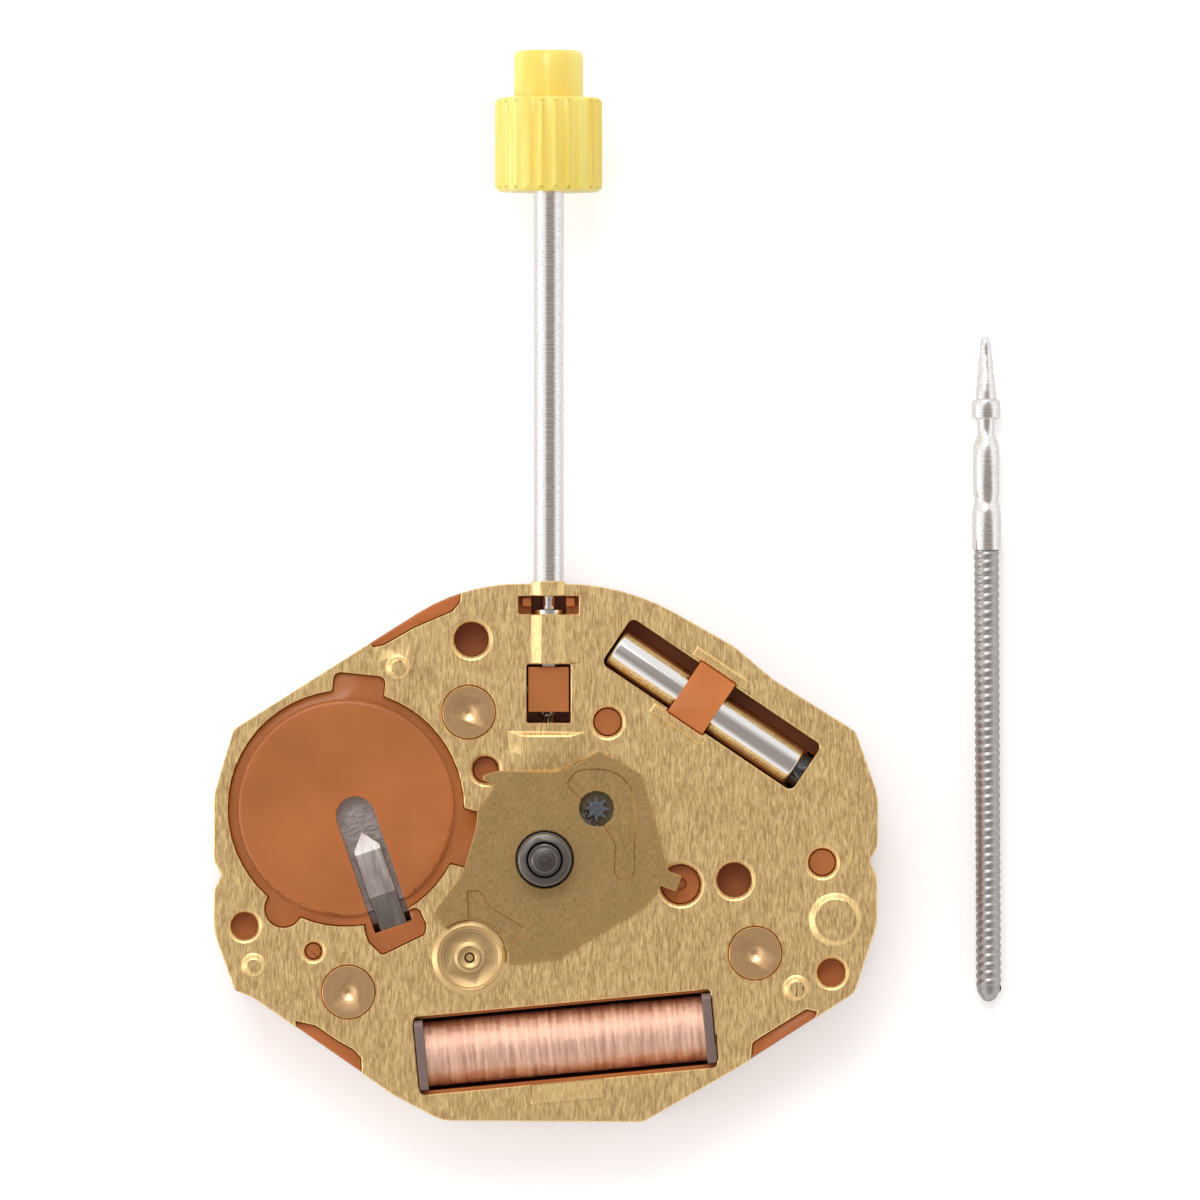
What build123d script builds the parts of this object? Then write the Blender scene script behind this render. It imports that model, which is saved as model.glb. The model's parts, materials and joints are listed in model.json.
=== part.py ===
"""Quartz watch movement, dial side up, with its setting stem and a loose threaded stem.

Millimetres. The origin is on the hand axis, at the height where a dial rests: +Z points to the
dial, +Y runs out along the setting stem and +X is to the right in a view of the dial side.
"""

import os
from math import atan2, cos, degrees, hypot, radians, sin

from build123d import *

os.makedirs("parts", exist_ok=True)

# Overall sizes of the movement
plate_length = 15.2
plate_width = 12.33
movement_thickness = 2.5

# Plates and layers, from the dial side to the back
cover_thickness = 0.12
plate_thickness = 0.40
back_cover_thickness = 0.12
screw_head_height = 0.10
bridge_thickness = 0.20
board_thickness = 0.15
insulator_thickness = 0.23

# Clearances
running_clearance = 0.02
seat_clearance = 0.05
cut_overrun = 0.5
shoulder_taper = 0.01

# Button cell
battery_radius = 2.9
battery_height = 1.65
battery_cap_step = 0.45
battery_cap_radius = battery_radius - battery_cap_step
battery_cap_height = 0.22

# Wheel train
train_module = 0.06
motion_module = 0.0614
wheel_thickness = 0.12
rotor_leaves = 6
intermediate_teeth = 36
intermediate_leaves = 8
third_teeth = 24
third_leaves = 9
centre_teeth = 45
cannon_leaves = 18
minute_teeth = 36
minute_leaves = 8
hour_teeth = 48
setting_teeth = 20

# Hand seats
hour_seat_radius = 0.60
hour_seat_height = 0.60
hour_shoulder_radius = 0.63
minute_seat_radius = 0.33
minute_seat_height = 0.95
minute_shoulder_radius = 0.37
minute_shoulder_height = 0.62

# Setting stem and its knob
stem_radius = 0.345
stem_drop = 0.68
stem_pilot_radius = 0.15
stem_square = 0.305
knob_radius = 1.24
knob_length = 2.16
knob_boss_radius = 0.80
knob_boss_length = 1.08
knob_flutes = 24
stem_pull = 0.50
clutch_shift = 0.22

# Coil and crystal
coil_radius = 0.755
coil_length = 6.42
coil_tilt = 5.4
coil_side_room = 0.145
flange_thickness = 0.20
flange_side = 0.055
crystal_radius = 0.475
crystal_length = 4.97
crystal_tilt = -34.0
crystal_end_room = 0.145
crystal_side_room = 0.16

# Loose threaded stem
loose_length = 15.35
loose_thread_radius = 0.29
loose_thread_length = 10.0
loose_collar_radius = 0.33

# Heights of the faces, all counted from the dial seat at zero
plate_top = -cover_thickness
plate_bottom = plate_top - plate_thickness
rest_level = -movement_thickness
cover_outside = rest_level + screw_head_height
cover_inside = cover_outside + back_cover_thickness
board_outside = cover_inside + insulator_thickness
board_inside = board_outside + board_thickness
bridge_inside = board_inside + bridge_thickness
battery_top = cover_inside + battery_height
stem_level = -stem_drop

# Outline of the movement: places and corner radii as shares of the plate's length and width
movement_outline_shares = [
    (0.1194, 0.5118, 0.340),
    (0.2862, 0.3950, 0.100),
    (0.3454, 0.3333, 0.100),
    (0.4684, 0.2376, 0.016),
    (0.5026, 0.1176, 0.066),
    (0.5020, 0.0243, 0.020),
    (0.4895, -0.0032, 0.012),
    (0.5010, -0.0324, 0.020),
    (0.5010, -0.1217, 0.066),
    (0.4664, -0.2490, 0.018),
    (0.2928, -0.3861, 0.200),
    (0.1480, -0.4882, 0.030),
    (-0.1546, -0.4858, 0.060),
    (-0.2270, -0.4388, 0.120),
    (-0.4382, -0.2579, 0.040),
    (-0.4671, -0.2433, 0.014),
    (-0.4987, -0.1338, 0.066),
    (-0.4985, -0.0584, 0.020),
    (-0.4868, -0.0300, 0.012),
    (-0.4987, -0.0016, 0.020),
    (-0.4987, 0.1176, 0.066),
    (-0.4690, 0.2409, 0.016),
    (-0.1217, 0.5118, 0.290),
]

# Stretches of rim where the plate stands back and the plastic frame shows past it
upper_rim_shares = [
    (-0.1240, 0.5400, 0.0),
    (-0.1270, 0.4780, 0.004),
    (-0.1390, 0.4600, 0.010),
    (-0.1960, 0.4300, 0.020),
    (-0.2425, 0.3975, 0.010),
    (-0.2590, 0.3930, 0.002),
    (-0.2900, 0.4600, 0.0),
]
left_rim_shares = [
    (-0.3760, -0.3000, 0.0),
    (-0.3450, -0.3085, 0.010),
    (-0.3110, -0.3375, 0.020),
    (-0.2885, -0.3525, 0.010),
    (-0.2760, -0.3690, 0.006),
    (-0.2750, -0.4400, 0.0),
    (-0.3500, -0.4200, 0.0),
]
right_rim_shares = [
    (0.4110, -0.2830, 0.0),
    (0.3940, -0.2780, 0.008),
    (0.3130, -0.3400, 0.008),
    (0.3090, -0.3900, 0.0),
    (0.3500, -0.4400, 0.0),
]

# Places on the plate, as shares of its length and width
pillar_place_shares = [(-0.2960, -0.2466), (0.3171, -0.1744), (-0.1145, 0.2733)]
dial_foot_place_shares = [(-0.1105, 0.4088), (0.2855, -0.0381)]
battery_height_share = 0.0945
coil_place_shares = (0.0309, -0.3398)
crystal_place_shares = (0.2516, 0.2878)

# Small holes of the plate: place shares, then the radius as a share of the dial foot hole
small_hole_shares = [
    (0.0949, 0.2552, 0.838),
    (0.4184, -0.0058, 0.810),
    (0.4320, -0.2103, 0.810),
    (-0.4524, -0.1236, 0.792),
    (-0.3486, -0.1706, 0.505),
    (-0.0891, 0.1663, 0.774),
    (0.2047, -0.0468, 1.174),
]
pegged_holes = (0, 1, 4)

# Raised studs of the plate: place shares, then the radius as a share of the dial foot hole
stud_shares = [
    (-0.2208, 0.3556, 0.705),
    (-0.4385, -0.1972, 0.674),
    (0.3793, -0.2402, 0.738),
    (0.4381, -0.1123, 1.513),
]

# Motion work cover: its outline and its two sunk fields, as shares of the plate
cover_outline_shares = [
    (-0.0684, 0.1646, 0.004),
    (0.0230, 0.1622, 0.060),
    (0.0827, 0.2019, 0.006),
    (0.1474, 0.1573, 0.009),
    (0.1868, -0.0219, 0.006),
    (0.2066, -0.0308, 0.003),
    (0.1974, -0.0600, 0.003),
    (0.1750, -0.0487, 0.003),
    (0.1513, -0.0876, 0.014),
    (0.0395, -0.1679, 0.010),
    (0.0217, -0.1849, 0.008),
    (-0.0526, -0.1930, 0.003),
    (-0.1132, -0.1825, 0.003),
    (-0.1664, -0.1014, 0.003),
    (-0.1638, -0.0933, 0.003),
    (-0.1237, -0.0276, 0.060),
    (-0.1020, 0.0649, 0.100),
    (-0.1013, 0.0908, 0.008),
    (-0.0822, 0.1233, 0.008),
    (-0.0757, 0.1395, 0.002),
    (-0.0921, 0.1460, 0.003),
    (-0.0934, 0.1565, 0.003),
]
sunk_arm_shares = [
    (0.0322, 0.1395, 0.008),
    (0.0493, 0.1671, 0.024),
    (0.1352, 0.1671, 0.052),
    (0.1352, -0.0385, 0.0145),
    (0.1043, -0.0385, 0.0145),
    (0.1066, 0.0284, 0.025),
    (0.0855, 0.0697, 0.002),
    (0.0592, 0.1079, 0.002),
]
sunk_corner_shares = [
    (-0.1164, -0.0584, 0.003),
    (-0.0974, -0.0584, 0.006),
    (-0.0816, -0.0892, 0.020),
    (-0.0309, -0.1265, 0.003),
    (-0.0329, -0.1427, 0.003),
    (-0.0625, -0.1614, 0.002),
    (-0.1132, -0.1622, 0.002),
]

# Openings and forms of the plate
dial_foot_radius = 0.39
dial_foot_chamfer = 0.08
small_hole_chamfer = 0.07
stud_height = 0.09
stud_slope_run = 0.10
battery_opening_step = 0.19
battery_opening_radius = battery_radius - battery_opening_step
battery_floor_step = 0.22
battery_floor_radius = battery_opening_radius - battery_floor_step
battery_floor_sink = 0.03
battery_floor_top = plate_top - battery_floor_sink
rotor_cup_radius = 0.87
rivet_radius = 0.618
pillar_radius = 0.45
screw_radius = 0.20
screw_head_radius = 0.50
coil_window_length = coil_length + 2 * (flange_thickness + running_clearance)
coil_window_width = 2 * (coil_radius + coil_side_room)
coil_window_corner = 0.12
crystal_window_length = crystal_length + 2 * crystal_end_room
crystal_window_width = 2 * (crystal_radius + crystal_side_room)
crystal_window_corner = 0.16
motion_floor = 0.10
wheel_post_radius = 0.12
minute_pivot_radius = 0.10
pivot_radius = 0.08
pivot_hole_radius = pivot_radius + running_clearance
pivot_depth = 0.15
setting_skin = 0.13

# Tab recess beside the coil window, and the raised field over the setting wheel
tab_recess_width = 1.67
tab_recess_depth = 0.12
tab_recess_run = 0.44
tab_recess_along = -0.05
emboss_across = 0.0435
emboss_base = (1.671, 0.824)
emboss_base_shift = 0.022
emboss_top = (1.076, 0.481)
emboss_top_shift = 0.102
emboss_height = 0.10

# Tunnel over the stem, counted in from its mouth, which stands out past the plate's outline
mouth_lip = 0.06
tunnel_mouth = movement_outline_shares[0][1] * plate_width + mouth_lip
tunnel_wall = 0.035
tunnel_half_width = stem_radius + tunnel_wall
tunnel_rise = 0.14
tunnel_flank_angle = 35
mouth_length = 0.34
cross_slot_length = 0.42
cross_slot_half_width = 0.697
tunnel_length = 1.14
slot_outer_end = tunnel_mouth - mouth_length
tunnel_outer_end = slot_outer_end - cross_slot_length
tunnel_inner_end = tunnel_outer_end - tunnel_length

# Window of the clutch slider, inward from the tunnel
clutch_window_length = 1.35
clutch_side_wall = 0.12
clutch_side_room = 0.045
clutch_window_inner_end = tunnel_inner_end - clutch_window_length
clutch_half_width = stem_radius + clutch_side_wall
clutch_window_half_width = clutch_half_width + clutch_side_room
clutch_place = 0.254
clutch_length = 1.03
clutch_inner_end = clutch_window_inner_end + clutch_place
clutch_outer_end = clutch_inner_end + clutch_length
clutch_depth = 0.42


def rounded(shares):
    """Closed face whose corners and corner radii are shares of the plate's length and width."""
    points = [(along * plate_length, across * plate_width) for along, across, _ in shares]
    radii = [bend * plate_length for _, _, bend in shares]
    with BuildSketch() as profile:
        with BuildLine():
            FilletPolyline(*points, radius=radii, close=True)
        make_face()
    return profile.sketch


def polar(origin, distance, angle):
    """Point at a distance and an angle in degrees from another point."""
    return (
        origin[0] + distance * cos(radians(angle)),
        origin[1] + distance * sin(radians(angle)),
    )


def bearing(start, end):
    """Angle in degrees of the line from one point to another."""
    return degrees(atan2(end[1] - start[1], end[0] - start[0]))


def place(shares):
    """Point on the plate from its two place shares."""
    return (shares[0] * plate_length, shares[1] * plate_width)


def post(centre, radius, low, high, mode=Mode.ADD):
    """Upright cylinder between two heights."""
    with Locations((centre[0], centre[1], low)):
        Cylinder(radius, high - low, align=(Align.CENTER, Align.CENTER, Align.MIN), mode=mode)


def block(centre, length, width, low, high, angle=0, mode=Mode.ADD):
    """Box between two heights, turned about its own centre."""
    with Locations(Location((centre[0], centre[1], low), (0, 0, angle))):
        Box(length, width, high - low, align=(Align.CENTER, Align.CENTER, Align.MIN), mode=mode)


def rod_along_stem(radius, start, end, level=stem_level, across=0, mode=Mode.ADD):
    """Cylinder along the stem's direction between two distances from the hand axis."""
    with Locations(Location((across, (start + end) / 2, level), (90, 0, 0))):
        Cylinder(radius, end - start, mode=mode)


def tapered(centre, low_radius, high_radius, low, high, mode=Mode.ADD):
    """Upright cone stump between two heights."""
    with Locations((centre[0], centre[1], low)):
        Cone(
            low_radius,
            high_radius,
            high - low,
            align=(Align.CENTER, Align.CENTER, Align.MIN),
            mode=mode,
        )


def strip(start, end, width):
    """Round-ended bar between two points of a sketch."""
    middle = ((start[0] + end[0]) / 2, (start[1] + end[1]) / 2)
    with Locations(Location((middle[0], middle[1], 0), (0, 0, bearing(start, end)))):
        SlotCenterToCenter(hypot(end[0] - start[0], end[1] - start[1]), width)


def pitch_radius(teeth, module):
    return teeth * module / 2


def tip_radius(teeth, module):
    return pitch_radius(teeth, module) + module


# A tooth's half widths at its root and tip, as shares of one tooth space
tooth_root_share = 0.30
tooth_tip_share = 0.12
root_depth_share = 1.25


def gear(teeth, module, phase):
    """Toothed disc with a tooth centred at the phase angle."""
    root = pitch_radius(teeth, module) - root_depth_share * module
    tip = tip_radius(teeth, module)
    pitch_angle = 360 / teeth
    corners = [
        (root, -tooth_root_share),
        (tip, -tooth_tip_share),
        (tip, tooth_tip_share),
        (root, tooth_root_share),
    ]
    points = [
        polar((0, 0), radius, phase + (tooth + share) * pitch_angle)
        for tooth in range(teeth)
        for radius, share in corners
    ]
    with BuildSketch() as profile:
        with BuildLine():
            Polyline(*points, close=True)
        make_face()
    return profile.sketch


def mesh_phase(direction, driver_phase, driver_teeth, teeth):
    """Phase that puts a gear in mesh with a driver that lies behind it along a direction."""
    lag = (driver_phase - direction) * driver_teeth / teeth
    return direction + 180 + 180 / teeth - lag


# Axes of the wheel train, each at its mesh distance from the one before
third_direction = -80.0
intermediate_direction = 176.8
rotor_direction = -145.8
minute_direction = 44.3
stem_across = 0.09
centre_axis = (0, 0)
third_axis = polar(
    centre_axis, pitch_radius(centre_teeth + third_leaves, train_module), third_direction
)
intermediate_axis = polar(
    third_axis,
    pitch_radius(third_teeth + intermediate_leaves, train_module),
    intermediate_direction,
)
rotor_axis = polar(
    intermediate_axis,
    pitch_radius(intermediate_teeth + rotor_leaves, train_module),
    rotor_direction,
)
minute_axis = polar(
    centre_axis, pitch_radius(cannon_leaves + minute_teeth, motion_module), minute_direction
)
setting_distance = pitch_radius(minute_teeth + setting_teeth, motion_module)
setting_rise = (setting_distance**2 - (minute_axis[0] - stem_across) ** 2) ** 0.5
setting_axis = (stem_across, minute_axis[1] + setting_rise)
hour_module = 2 * hypot(*minute_axis) / (minute_leaves + hour_teeth)

# Places of the other parts
pillar_places = [place(shares) for shares in pillar_place_shares]
dial_foot_places = [place(shares) for shares in dial_foot_place_shares]
battery_axis = (
    -plate_length / 2 + battery_radius + 3 * seat_clearance,
    battery_height_share * plate_width,
)
coil_place = place(coil_place_shares)
crystal_place = place(crystal_place_shares)

# Heights of the train and the motion work
motion_floor_level = plate_bottom + motion_floor
minute_wheel_low = motion_floor_level + running_clearance
minute_wheel_high = minute_wheel_low + wheel_thickness
setting_wheel_low = minute_wheel_low - seat_clearance
hour_wheel_low = minute_wheel_high + running_clearance
hour_wheel_high = hour_wheel_low + wheel_thickness
centre_wheel_high = plate_bottom - 2 * seat_clearance
centre_wheel_low = centre_wheel_high - wheel_thickness
third_wheel_high = centre_wheel_low - 3 * seat_clearance
third_wheel_low = third_wheel_high - wheel_thickness
core_thickness = 0.35
core_drop = 0.21
core_high = plate_bottom - core_drop
core_low = core_high - core_thickness
stator_low = core_low - core_thickness
intermediate_wheel_high = stator_low - seat_clearance
intermediate_wheel_low = intermediate_wheel_high - wheel_thickness
pinion_overlap = 0.03

# Phases that put every pair of wheels in mesh at rest
intermediate_phase = bearing(intermediate_axis, rotor_axis)
rotor_phase = mesh_phase(
    bearing(intermediate_axis, rotor_axis),
    intermediate_phase,
    intermediate_teeth,
    rotor_leaves,
)
third_phase = mesh_phase(
    bearing(intermediate_axis, third_axis),
    bearing(intermediate_axis, third_axis),
    intermediate_leaves,
    third_teeth,
)
centre_phase = mesh_phase(
    bearing(third_axis, centre_axis),
    bearing(third_axis, centre_axis),
    third_leaves,
    centre_teeth,
)
minute_phase = mesh_phase(minute_direction, minute_direction, cannon_leaves, minute_teeth)
hour_phase = mesh_phase(
    minute_direction + 180, minute_direction + 180, minute_leaves, hour_teeth
)
setting_phase = mesh_phase(
    bearing(minute_axis, setting_axis), minute_phase, minute_teeth, setting_teeth
)

# Battery floor: the lugs that lock the raised disc in the plate's opening
lug_reach = 0.36
top_lug_width = 1.16
side_lug_width = 1.28
top_lug_corner = 0.15
side_lug_corner = 0.02
corner_lug_radius = 0.42
top_lug_angle = 84.0
side_lug_angle = -14.0
corner_lug_angle = -122.0
end_lug_shares = [
    (-0.2730, -0.1180, 0.010),
    (-0.2650, -0.1530, 0.012),
    (-0.2450, -0.1770, 0.006),
    (-0.1810, -0.1390, 0.008),
    (-0.1790, -0.1220, 0.008),
    (-0.1910, -0.0900, 0.008),
]

# Negative contact strip in the slot of the battery floor, with its stations along the slot
contact_slot_width = 0.90
contact_slot_end = 2.69
contact_width = 0.64
contact_thickness = 0.10
contact_start_reach = 0.28
contact_start_angle = -39.0
contact_angle = -71.1
contact_tip = 0.387
contact_shoulder = 0.77
contact_flat_start = 0.87
contact_flat_end = 1.815
contact_foot_start = 2.32
contact_foot_end = 3.05
contact_drop = 0.21
contact_start = polar(battery_axis, contact_start_reach, contact_start_angle)
contact_high = plate_top - contact_drop
contact_foot_high = battery_top + contact_thickness


def contact_point(along, across):
    """Point from the round end of the contact's slot, along and across the strip."""
    return polar(polar(contact_start, along, contact_angle), across, contact_angle + 90)


def lug_sketch(grow):
    """Round field of the battery floor with its lugs, grown by a clearance."""
    with BuildSketch() as profile:
        with Locations(battery_axis):
            Circle(battery_opening_radius - running_clearance + grow)
        reach = battery_opening_radius + lug_reach
        for angle, width, corner in (
            (top_lug_angle, top_lug_width, top_lug_corner),
            (side_lug_angle, side_lug_width, side_lug_corner),
        ):
            end = polar(battery_axis, reach - width / 3, angle)
            with Locations(Location((end[0], end[1], 0), (0, 0, angle))):
                RectangleRounded(2 * width / 3 + 2 * grow, width + 2 * grow, corner + grow)
        with Locations(polar(battery_axis, battery_opening_radius, corner_lug_angle)):
            Circle(corner_lug_radius + grow)
        add(rounded(end_lug_shares))
        if grow > 0:
            with BuildSketch(mode=Mode.PRIVATE) as end_lug:
                add(rounded(end_lug_shares))
                offset(amount=grow)
            add(end_lug.sketch)
    return profile.sketch


def crystal_point(along, across):
    """Point from the crystal window's centre, along and across the crystal."""
    return polar(polar(crystal_place, along, crystal_tilt), across, crystal_tilt + 90)


def coil_point(along, across):
    """Point from the coil window's centre, along and across the coil."""
    return polar(polar(coil_place, along, coil_tilt), across, coil_tilt + 90)


# Crystal strap, and the two upright ridges of the plate beside it
strap_width = 0.95
strap_span = 1.385
strap_thickness = 0.12
strap_rise = 0.06
strap_top = plate_top + strap_rise
strap_leg = 0.10
strap_along = -0.27
crystal_along = -0.09
crystal_across = -0.12
crystal_level = strap_top - strap_thickness - running_clearance - crystal_radius
ridge_width = 0.18
ridge_height = 0.10
ridge_length = 1.40
upper_ridge_along = -0.29
lower_ridge_along = -0.37
ridge_across = crystal_window_width / 2 + ridge_width
coil_direction = (*polar((0, 0), 1, coil_tilt), 0)
coil_across_direction = (*polar((0, 0), 1, coil_tilt + 90), 0)
tab_recess_plane = Plane(
    (*coil_point(tab_recess_along, -coil_window_width / 2), plate_top),
    x_dir=coil_across_direction,
    z_dir=coil_direction,
)
minute_pocket_radius = tip_radius(minute_teeth, motion_module) + seat_clearance
hour_pocket_radius = tip_radius(hour_teeth, hour_module) + seat_clearance

# Main plate
with BuildPart() as main_plate:
    with BuildSketch(Plane.XY.offset(plate_bottom)):
        add(rounded(movement_outline_shares))
        add(rounded(upper_rim_shares), mode=Mode.SUBTRACT)
        add(rounded(left_rim_shares), mode=Mode.SUBTRACT)
        add(rounded(right_rim_shares), mode=Mode.SUBTRACT)
        with Locations((stem_across, slot_outer_end)):
            Rectangle(
                2 * tunnel_half_width,
                tunnel_mouth - slot_outer_end,
                align=(Align.CENTER, Align.MIN),
            )
        add(lug_sketch(running_clearance), mode=Mode.SUBTRACT)
        with Locations(Location((*crystal_place, 0), (0, 0, crystal_tilt))):
            RectangleRounded(
                crystal_window_length,
                crystal_window_width,
                crystal_window_corner,
                mode=Mode.SUBTRACT,
            )
        with Locations(Location((*crystal_point(strap_along, 0), 0), (0, 0, crystal_tilt))):
            Rectangle(
                strap_width + 2 * running_clearance,
                strap_span + 2 * running_clearance,
                mode=Mode.SUBTRACT,
            )
        with Locations(Location((*coil_place, 0), (0, 0, coil_tilt))):
            RectangleRounded(
                coil_window_length, coil_window_width, coil_window_corner, mode=Mode.SUBTRACT
            )
        with Locations((stem_across, (tunnel_outer_end + slot_outer_end) / 2)):
            Rectangle(2 * cross_slot_half_width, cross_slot_length, mode=Mode.SUBTRACT)
        with Locations((stem_across, (clutch_window_inner_end + tunnel_inner_end) / 2)):
            RectangleRounded(
                2 * clutch_window_half_width,
                tunnel_inner_end - clutch_window_inner_end,
                seat_clearance,
                mode=Mode.SUBTRACT,
            )
        for along, across, share in small_hole_shares:
            with Locations(place((along, across))):
                Circle(share * dial_foot_radius, mode=Mode.SUBTRACT)
    extrude(amount=plate_thickness)
    with BuildSketch(Plane.XZ.offset(-tunnel_mouth)):
        with Locations((stem_across, plate_top)):
            Trapezoid(
                2 * tunnel_half_width,
                tunnel_rise,
                tunnel_flank_angle,
                align=(Align.CENTER, Align.MIN),
            )
    extrude(amount=tunnel_mouth - tunnel_inner_end)
    block(
        (stem_across, (tunnel_outer_end + slot_outer_end) / 2),
        2 * tunnel_half_width,
        slot_outer_end - tunnel_outer_end,
        plate_bottom,
        plate_top + 2 * tunnel_rise,
        mode=Mode.SUBTRACT,
    )
    for along, across, share in stud_shares:
        radius = share * dial_foot_radius
        tapered(
            place((along, across)),
            radius,
            radius - stud_slope_run,
            plate_top,
            plate_top + stud_height,
        )
    for along, across, share in small_hole_shares:
        radius = share * dial_foot_radius
        tapered(
            place((along, across)),
            radius,
            radius + small_hole_chamfer,
            plate_top - small_hole_chamfer,
            plate_top,
            Mode.SUBTRACT,
        )
    for centre in dial_foot_places:
        post(centre, dial_foot_radius, plate_bottom, plate_top, Mode.SUBTRACT)
        tapered(
            centre,
            dial_foot_radius,
            dial_foot_radius + dial_foot_chamfer,
            plate_top - dial_foot_chamfer,
            plate_top,
            Mode.SUBTRACT,
        )
    for centre in pillar_places:
        post(centre, pillar_radius, plate_bottom, plate_top, Mode.SUBTRACT)
        post(centre, rivet_radius, plate_top - wheel_thickness, plate_top, Mode.SUBTRACT)
    post(rotor_axis, rotor_cup_radius - 4 * seat_clearance, plate_bottom, plate_top, Mode.SUBTRACT)
    post(centre_axis, hour_pocket_radius, motion_floor_level, plate_top, Mode.SUBTRACT)
    post(
        minute_axis,
        minute_pocket_radius,
        motion_floor_level,
        plate_top - setting_skin,
        Mode.SUBTRACT,
    )
    with BuildSketch(Plane.XY.offset(plate_top - setting_skin - seat_clearance)):
        add(rounded(cover_outline_shares))
        offset(amount=-running_clearance)
        with Locations(minute_axis):
            Circle(minute_pocket_radius - running_clearance, mode=Mode.INTERSECT)
    extrude(amount=setting_skin + seat_clearance, mode=Mode.SUBTRACT)
    post(
        setting_axis,
        tip_radius(setting_teeth, motion_module) + seat_clearance,
        plate_bottom,
        plate_top - setting_skin,
        Mode.SUBTRACT,
    )
    post(setting_axis, wheel_post_radius, setting_wheel_low - running_clearance, plate_top)
    post(centre_axis, minute_seat_radius, plate_bottom, plate_top, Mode.SUBTRACT)
    post(
        minute_axis,
        minute_pivot_radius + running_clearance,
        plate_bottom,
        plate_top,
        Mode.SUBTRACT,
    )
    for axis in (third_axis, intermediate_axis):
        post(axis, pivot_hole_radius, plate_bottom, plate_bottom + pivot_depth, Mode.SUBTRACT)
    rod_along_stem(
        stem_radius + running_clearance,
        tunnel_inner_end - cut_overrun,
        tunnel_mouth + cut_overrun,
        across=stem_across,
        mode=Mode.SUBTRACT,
    )
    for along, across in ((upper_ridge_along, ridge_across), (lower_ridge_along, -ridge_across)):
        block(
            crystal_point(along, across),
            ridge_length,
            ridge_width,
            plate_top,
            plate_top + ridge_height,
            crystal_tilt,
        )
    with BuildSketch(tab_recess_plane):
        with BuildLine():
            Polyline(
                (seat_clearance, -tab_recess_depth),
                (0, -tab_recess_depth),
                (-tab_recess_run, 0),
                (-tab_recess_run, seat_clearance),
                (seat_clearance, seat_clearance),
                close=True,
            )
        make_face()
    extrude(amount=tab_recess_width / 2, both=True, mode=Mode.SUBTRACT)
    with BuildSketch(Plane.XY.offset(plate_top)):
        with Locations((emboss_across, setting_axis[1] + emboss_base_shift)):
            Rectangle(*emboss_base)
    with BuildSketch(Plane.XY.offset(plate_top + emboss_height)):
        with Locations((emboss_across, setting_axis[1] + emboss_top_shift)):
            Rectangle(*emboss_top)
    loft()
    with BuildSketch(Plane.XY.offset(plate_top)):
        add(rounded(cover_outline_shares))
        offset(amount=running_clearance)
    extrude(amount=emboss_height, mode=Mode.SUBTRACT)
main_plate.part.label = "main_plate"
export_step(main_plate.part, "parts/main_plate.step")

# Rotor bearing: a turned cup pressed into the plate, with the rotor's pivot hole at its centre
cup_rim_height = 0.10
cup_crest_outer = 0.75
cup_crest_inner = 0.73
cup_floor_radius = 0.67
cup_floor_height = 0.02
cup_ring_radius = 0.29
cup_ring_height = 0.06
cup_hole_radius = pivot_hole_radius + running_clearance
with BuildPart() as rotor_bearing:
    with BuildSketch(Plane.XZ):
        with BuildLine():
            Polyline(
                (cup_hole_radius, plate_bottom),
                (rotor_cup_radius - 4 * seat_clearance, plate_bottom),
                (rotor_cup_radius - 4 * seat_clearance, plate_top),
                (rotor_cup_radius, plate_top),
                (cup_crest_outer, plate_top + cup_rim_height),
                (cup_crest_inner, plate_top + cup_rim_height),
                (cup_floor_radius, plate_top + cup_floor_height),
                (cup_ring_radius + seat_clearance, plate_top + cup_floor_height),
                (cup_ring_radius, plate_top + cup_ring_height),
                (2 * cup_hole_radius, plate_top + cup_ring_height),
                (cup_hole_radius, plate_top + cup_floor_height),
                close=True,
            )
        make_face()
    revolve(axis=Axis.Z)
bearing_part = rotor_bearing.part.moved(Location((*rotor_axis, 0)))
bearing_part.label = "rotor_bearing"
export_step(bearing_part, "parts/rotor_bearing.step")

# Pillars: rivet head in the plate, shoulder against the core or the bridge, bore for the screw
rivet_rise = 0.02
rivet_dimple_radius = 0.21
rivet_dimple_depth = 0.06
rivet_seat = plate_top - wheel_thickness
pillar_bore_top = plate_bottom + seat_clearance
with BuildPart() as pillars:
    for centre, foot in zip(pillar_places, (core_high, core_high, bridge_inside)):
        post(centre, rivet_radius - running_clearance, rivet_seat, plate_top + rivet_rise)
        post(centre, pillar_radius, foot, rivet_seat)
        post(centre, screw_radius, foot, pillar_bore_top, Mode.SUBTRACT)
        rivet_top = plate_top + rivet_rise
        tapered(
            centre,
            seat_clearance,
            rivet_dimple_radius,
            rivet_top - rivet_dimple_depth,
            rivet_top,
            Mode.SUBTRACT,
        )
pillars.part.label = "pillars"
export_step(pillars.part, "parts/pillars.step")

# Motion work cover, which lies on the plate over the hour and minute wheels
cover_hole_radius = 0.66
minute_hole_radius = 0.40
sunk_depth = 0.05
with BuildPart() as motion_work_cover:
    with BuildSketch(Plane.XY.offset(plate_top)):
        add(rounded(cover_outline_shares))
        with Locations(rotor_axis):
            Circle(rotor_cup_radius + running_clearance, mode=Mode.SUBTRACT)
    extrude(amount=cover_thickness)
    with BuildSketch(Plane.XY.offset(-sunk_depth)):
        add(rounded(sunk_arm_shares))
        add(rounded(sunk_corner_shares))
    extrude(amount=sunk_depth, mode=Mode.SUBTRACT)
    post(centre_axis, cover_hole_radius, plate_top, 0, Mode.SUBTRACT)
    post(minute_axis, minute_hole_radius, plate_top, 0, Mode.SUBTRACT)
motion_work_cover.part.label = "motion_work_cover"
export_step(motion_work_cover.part, "parts/motion_work_cover.step")

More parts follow.
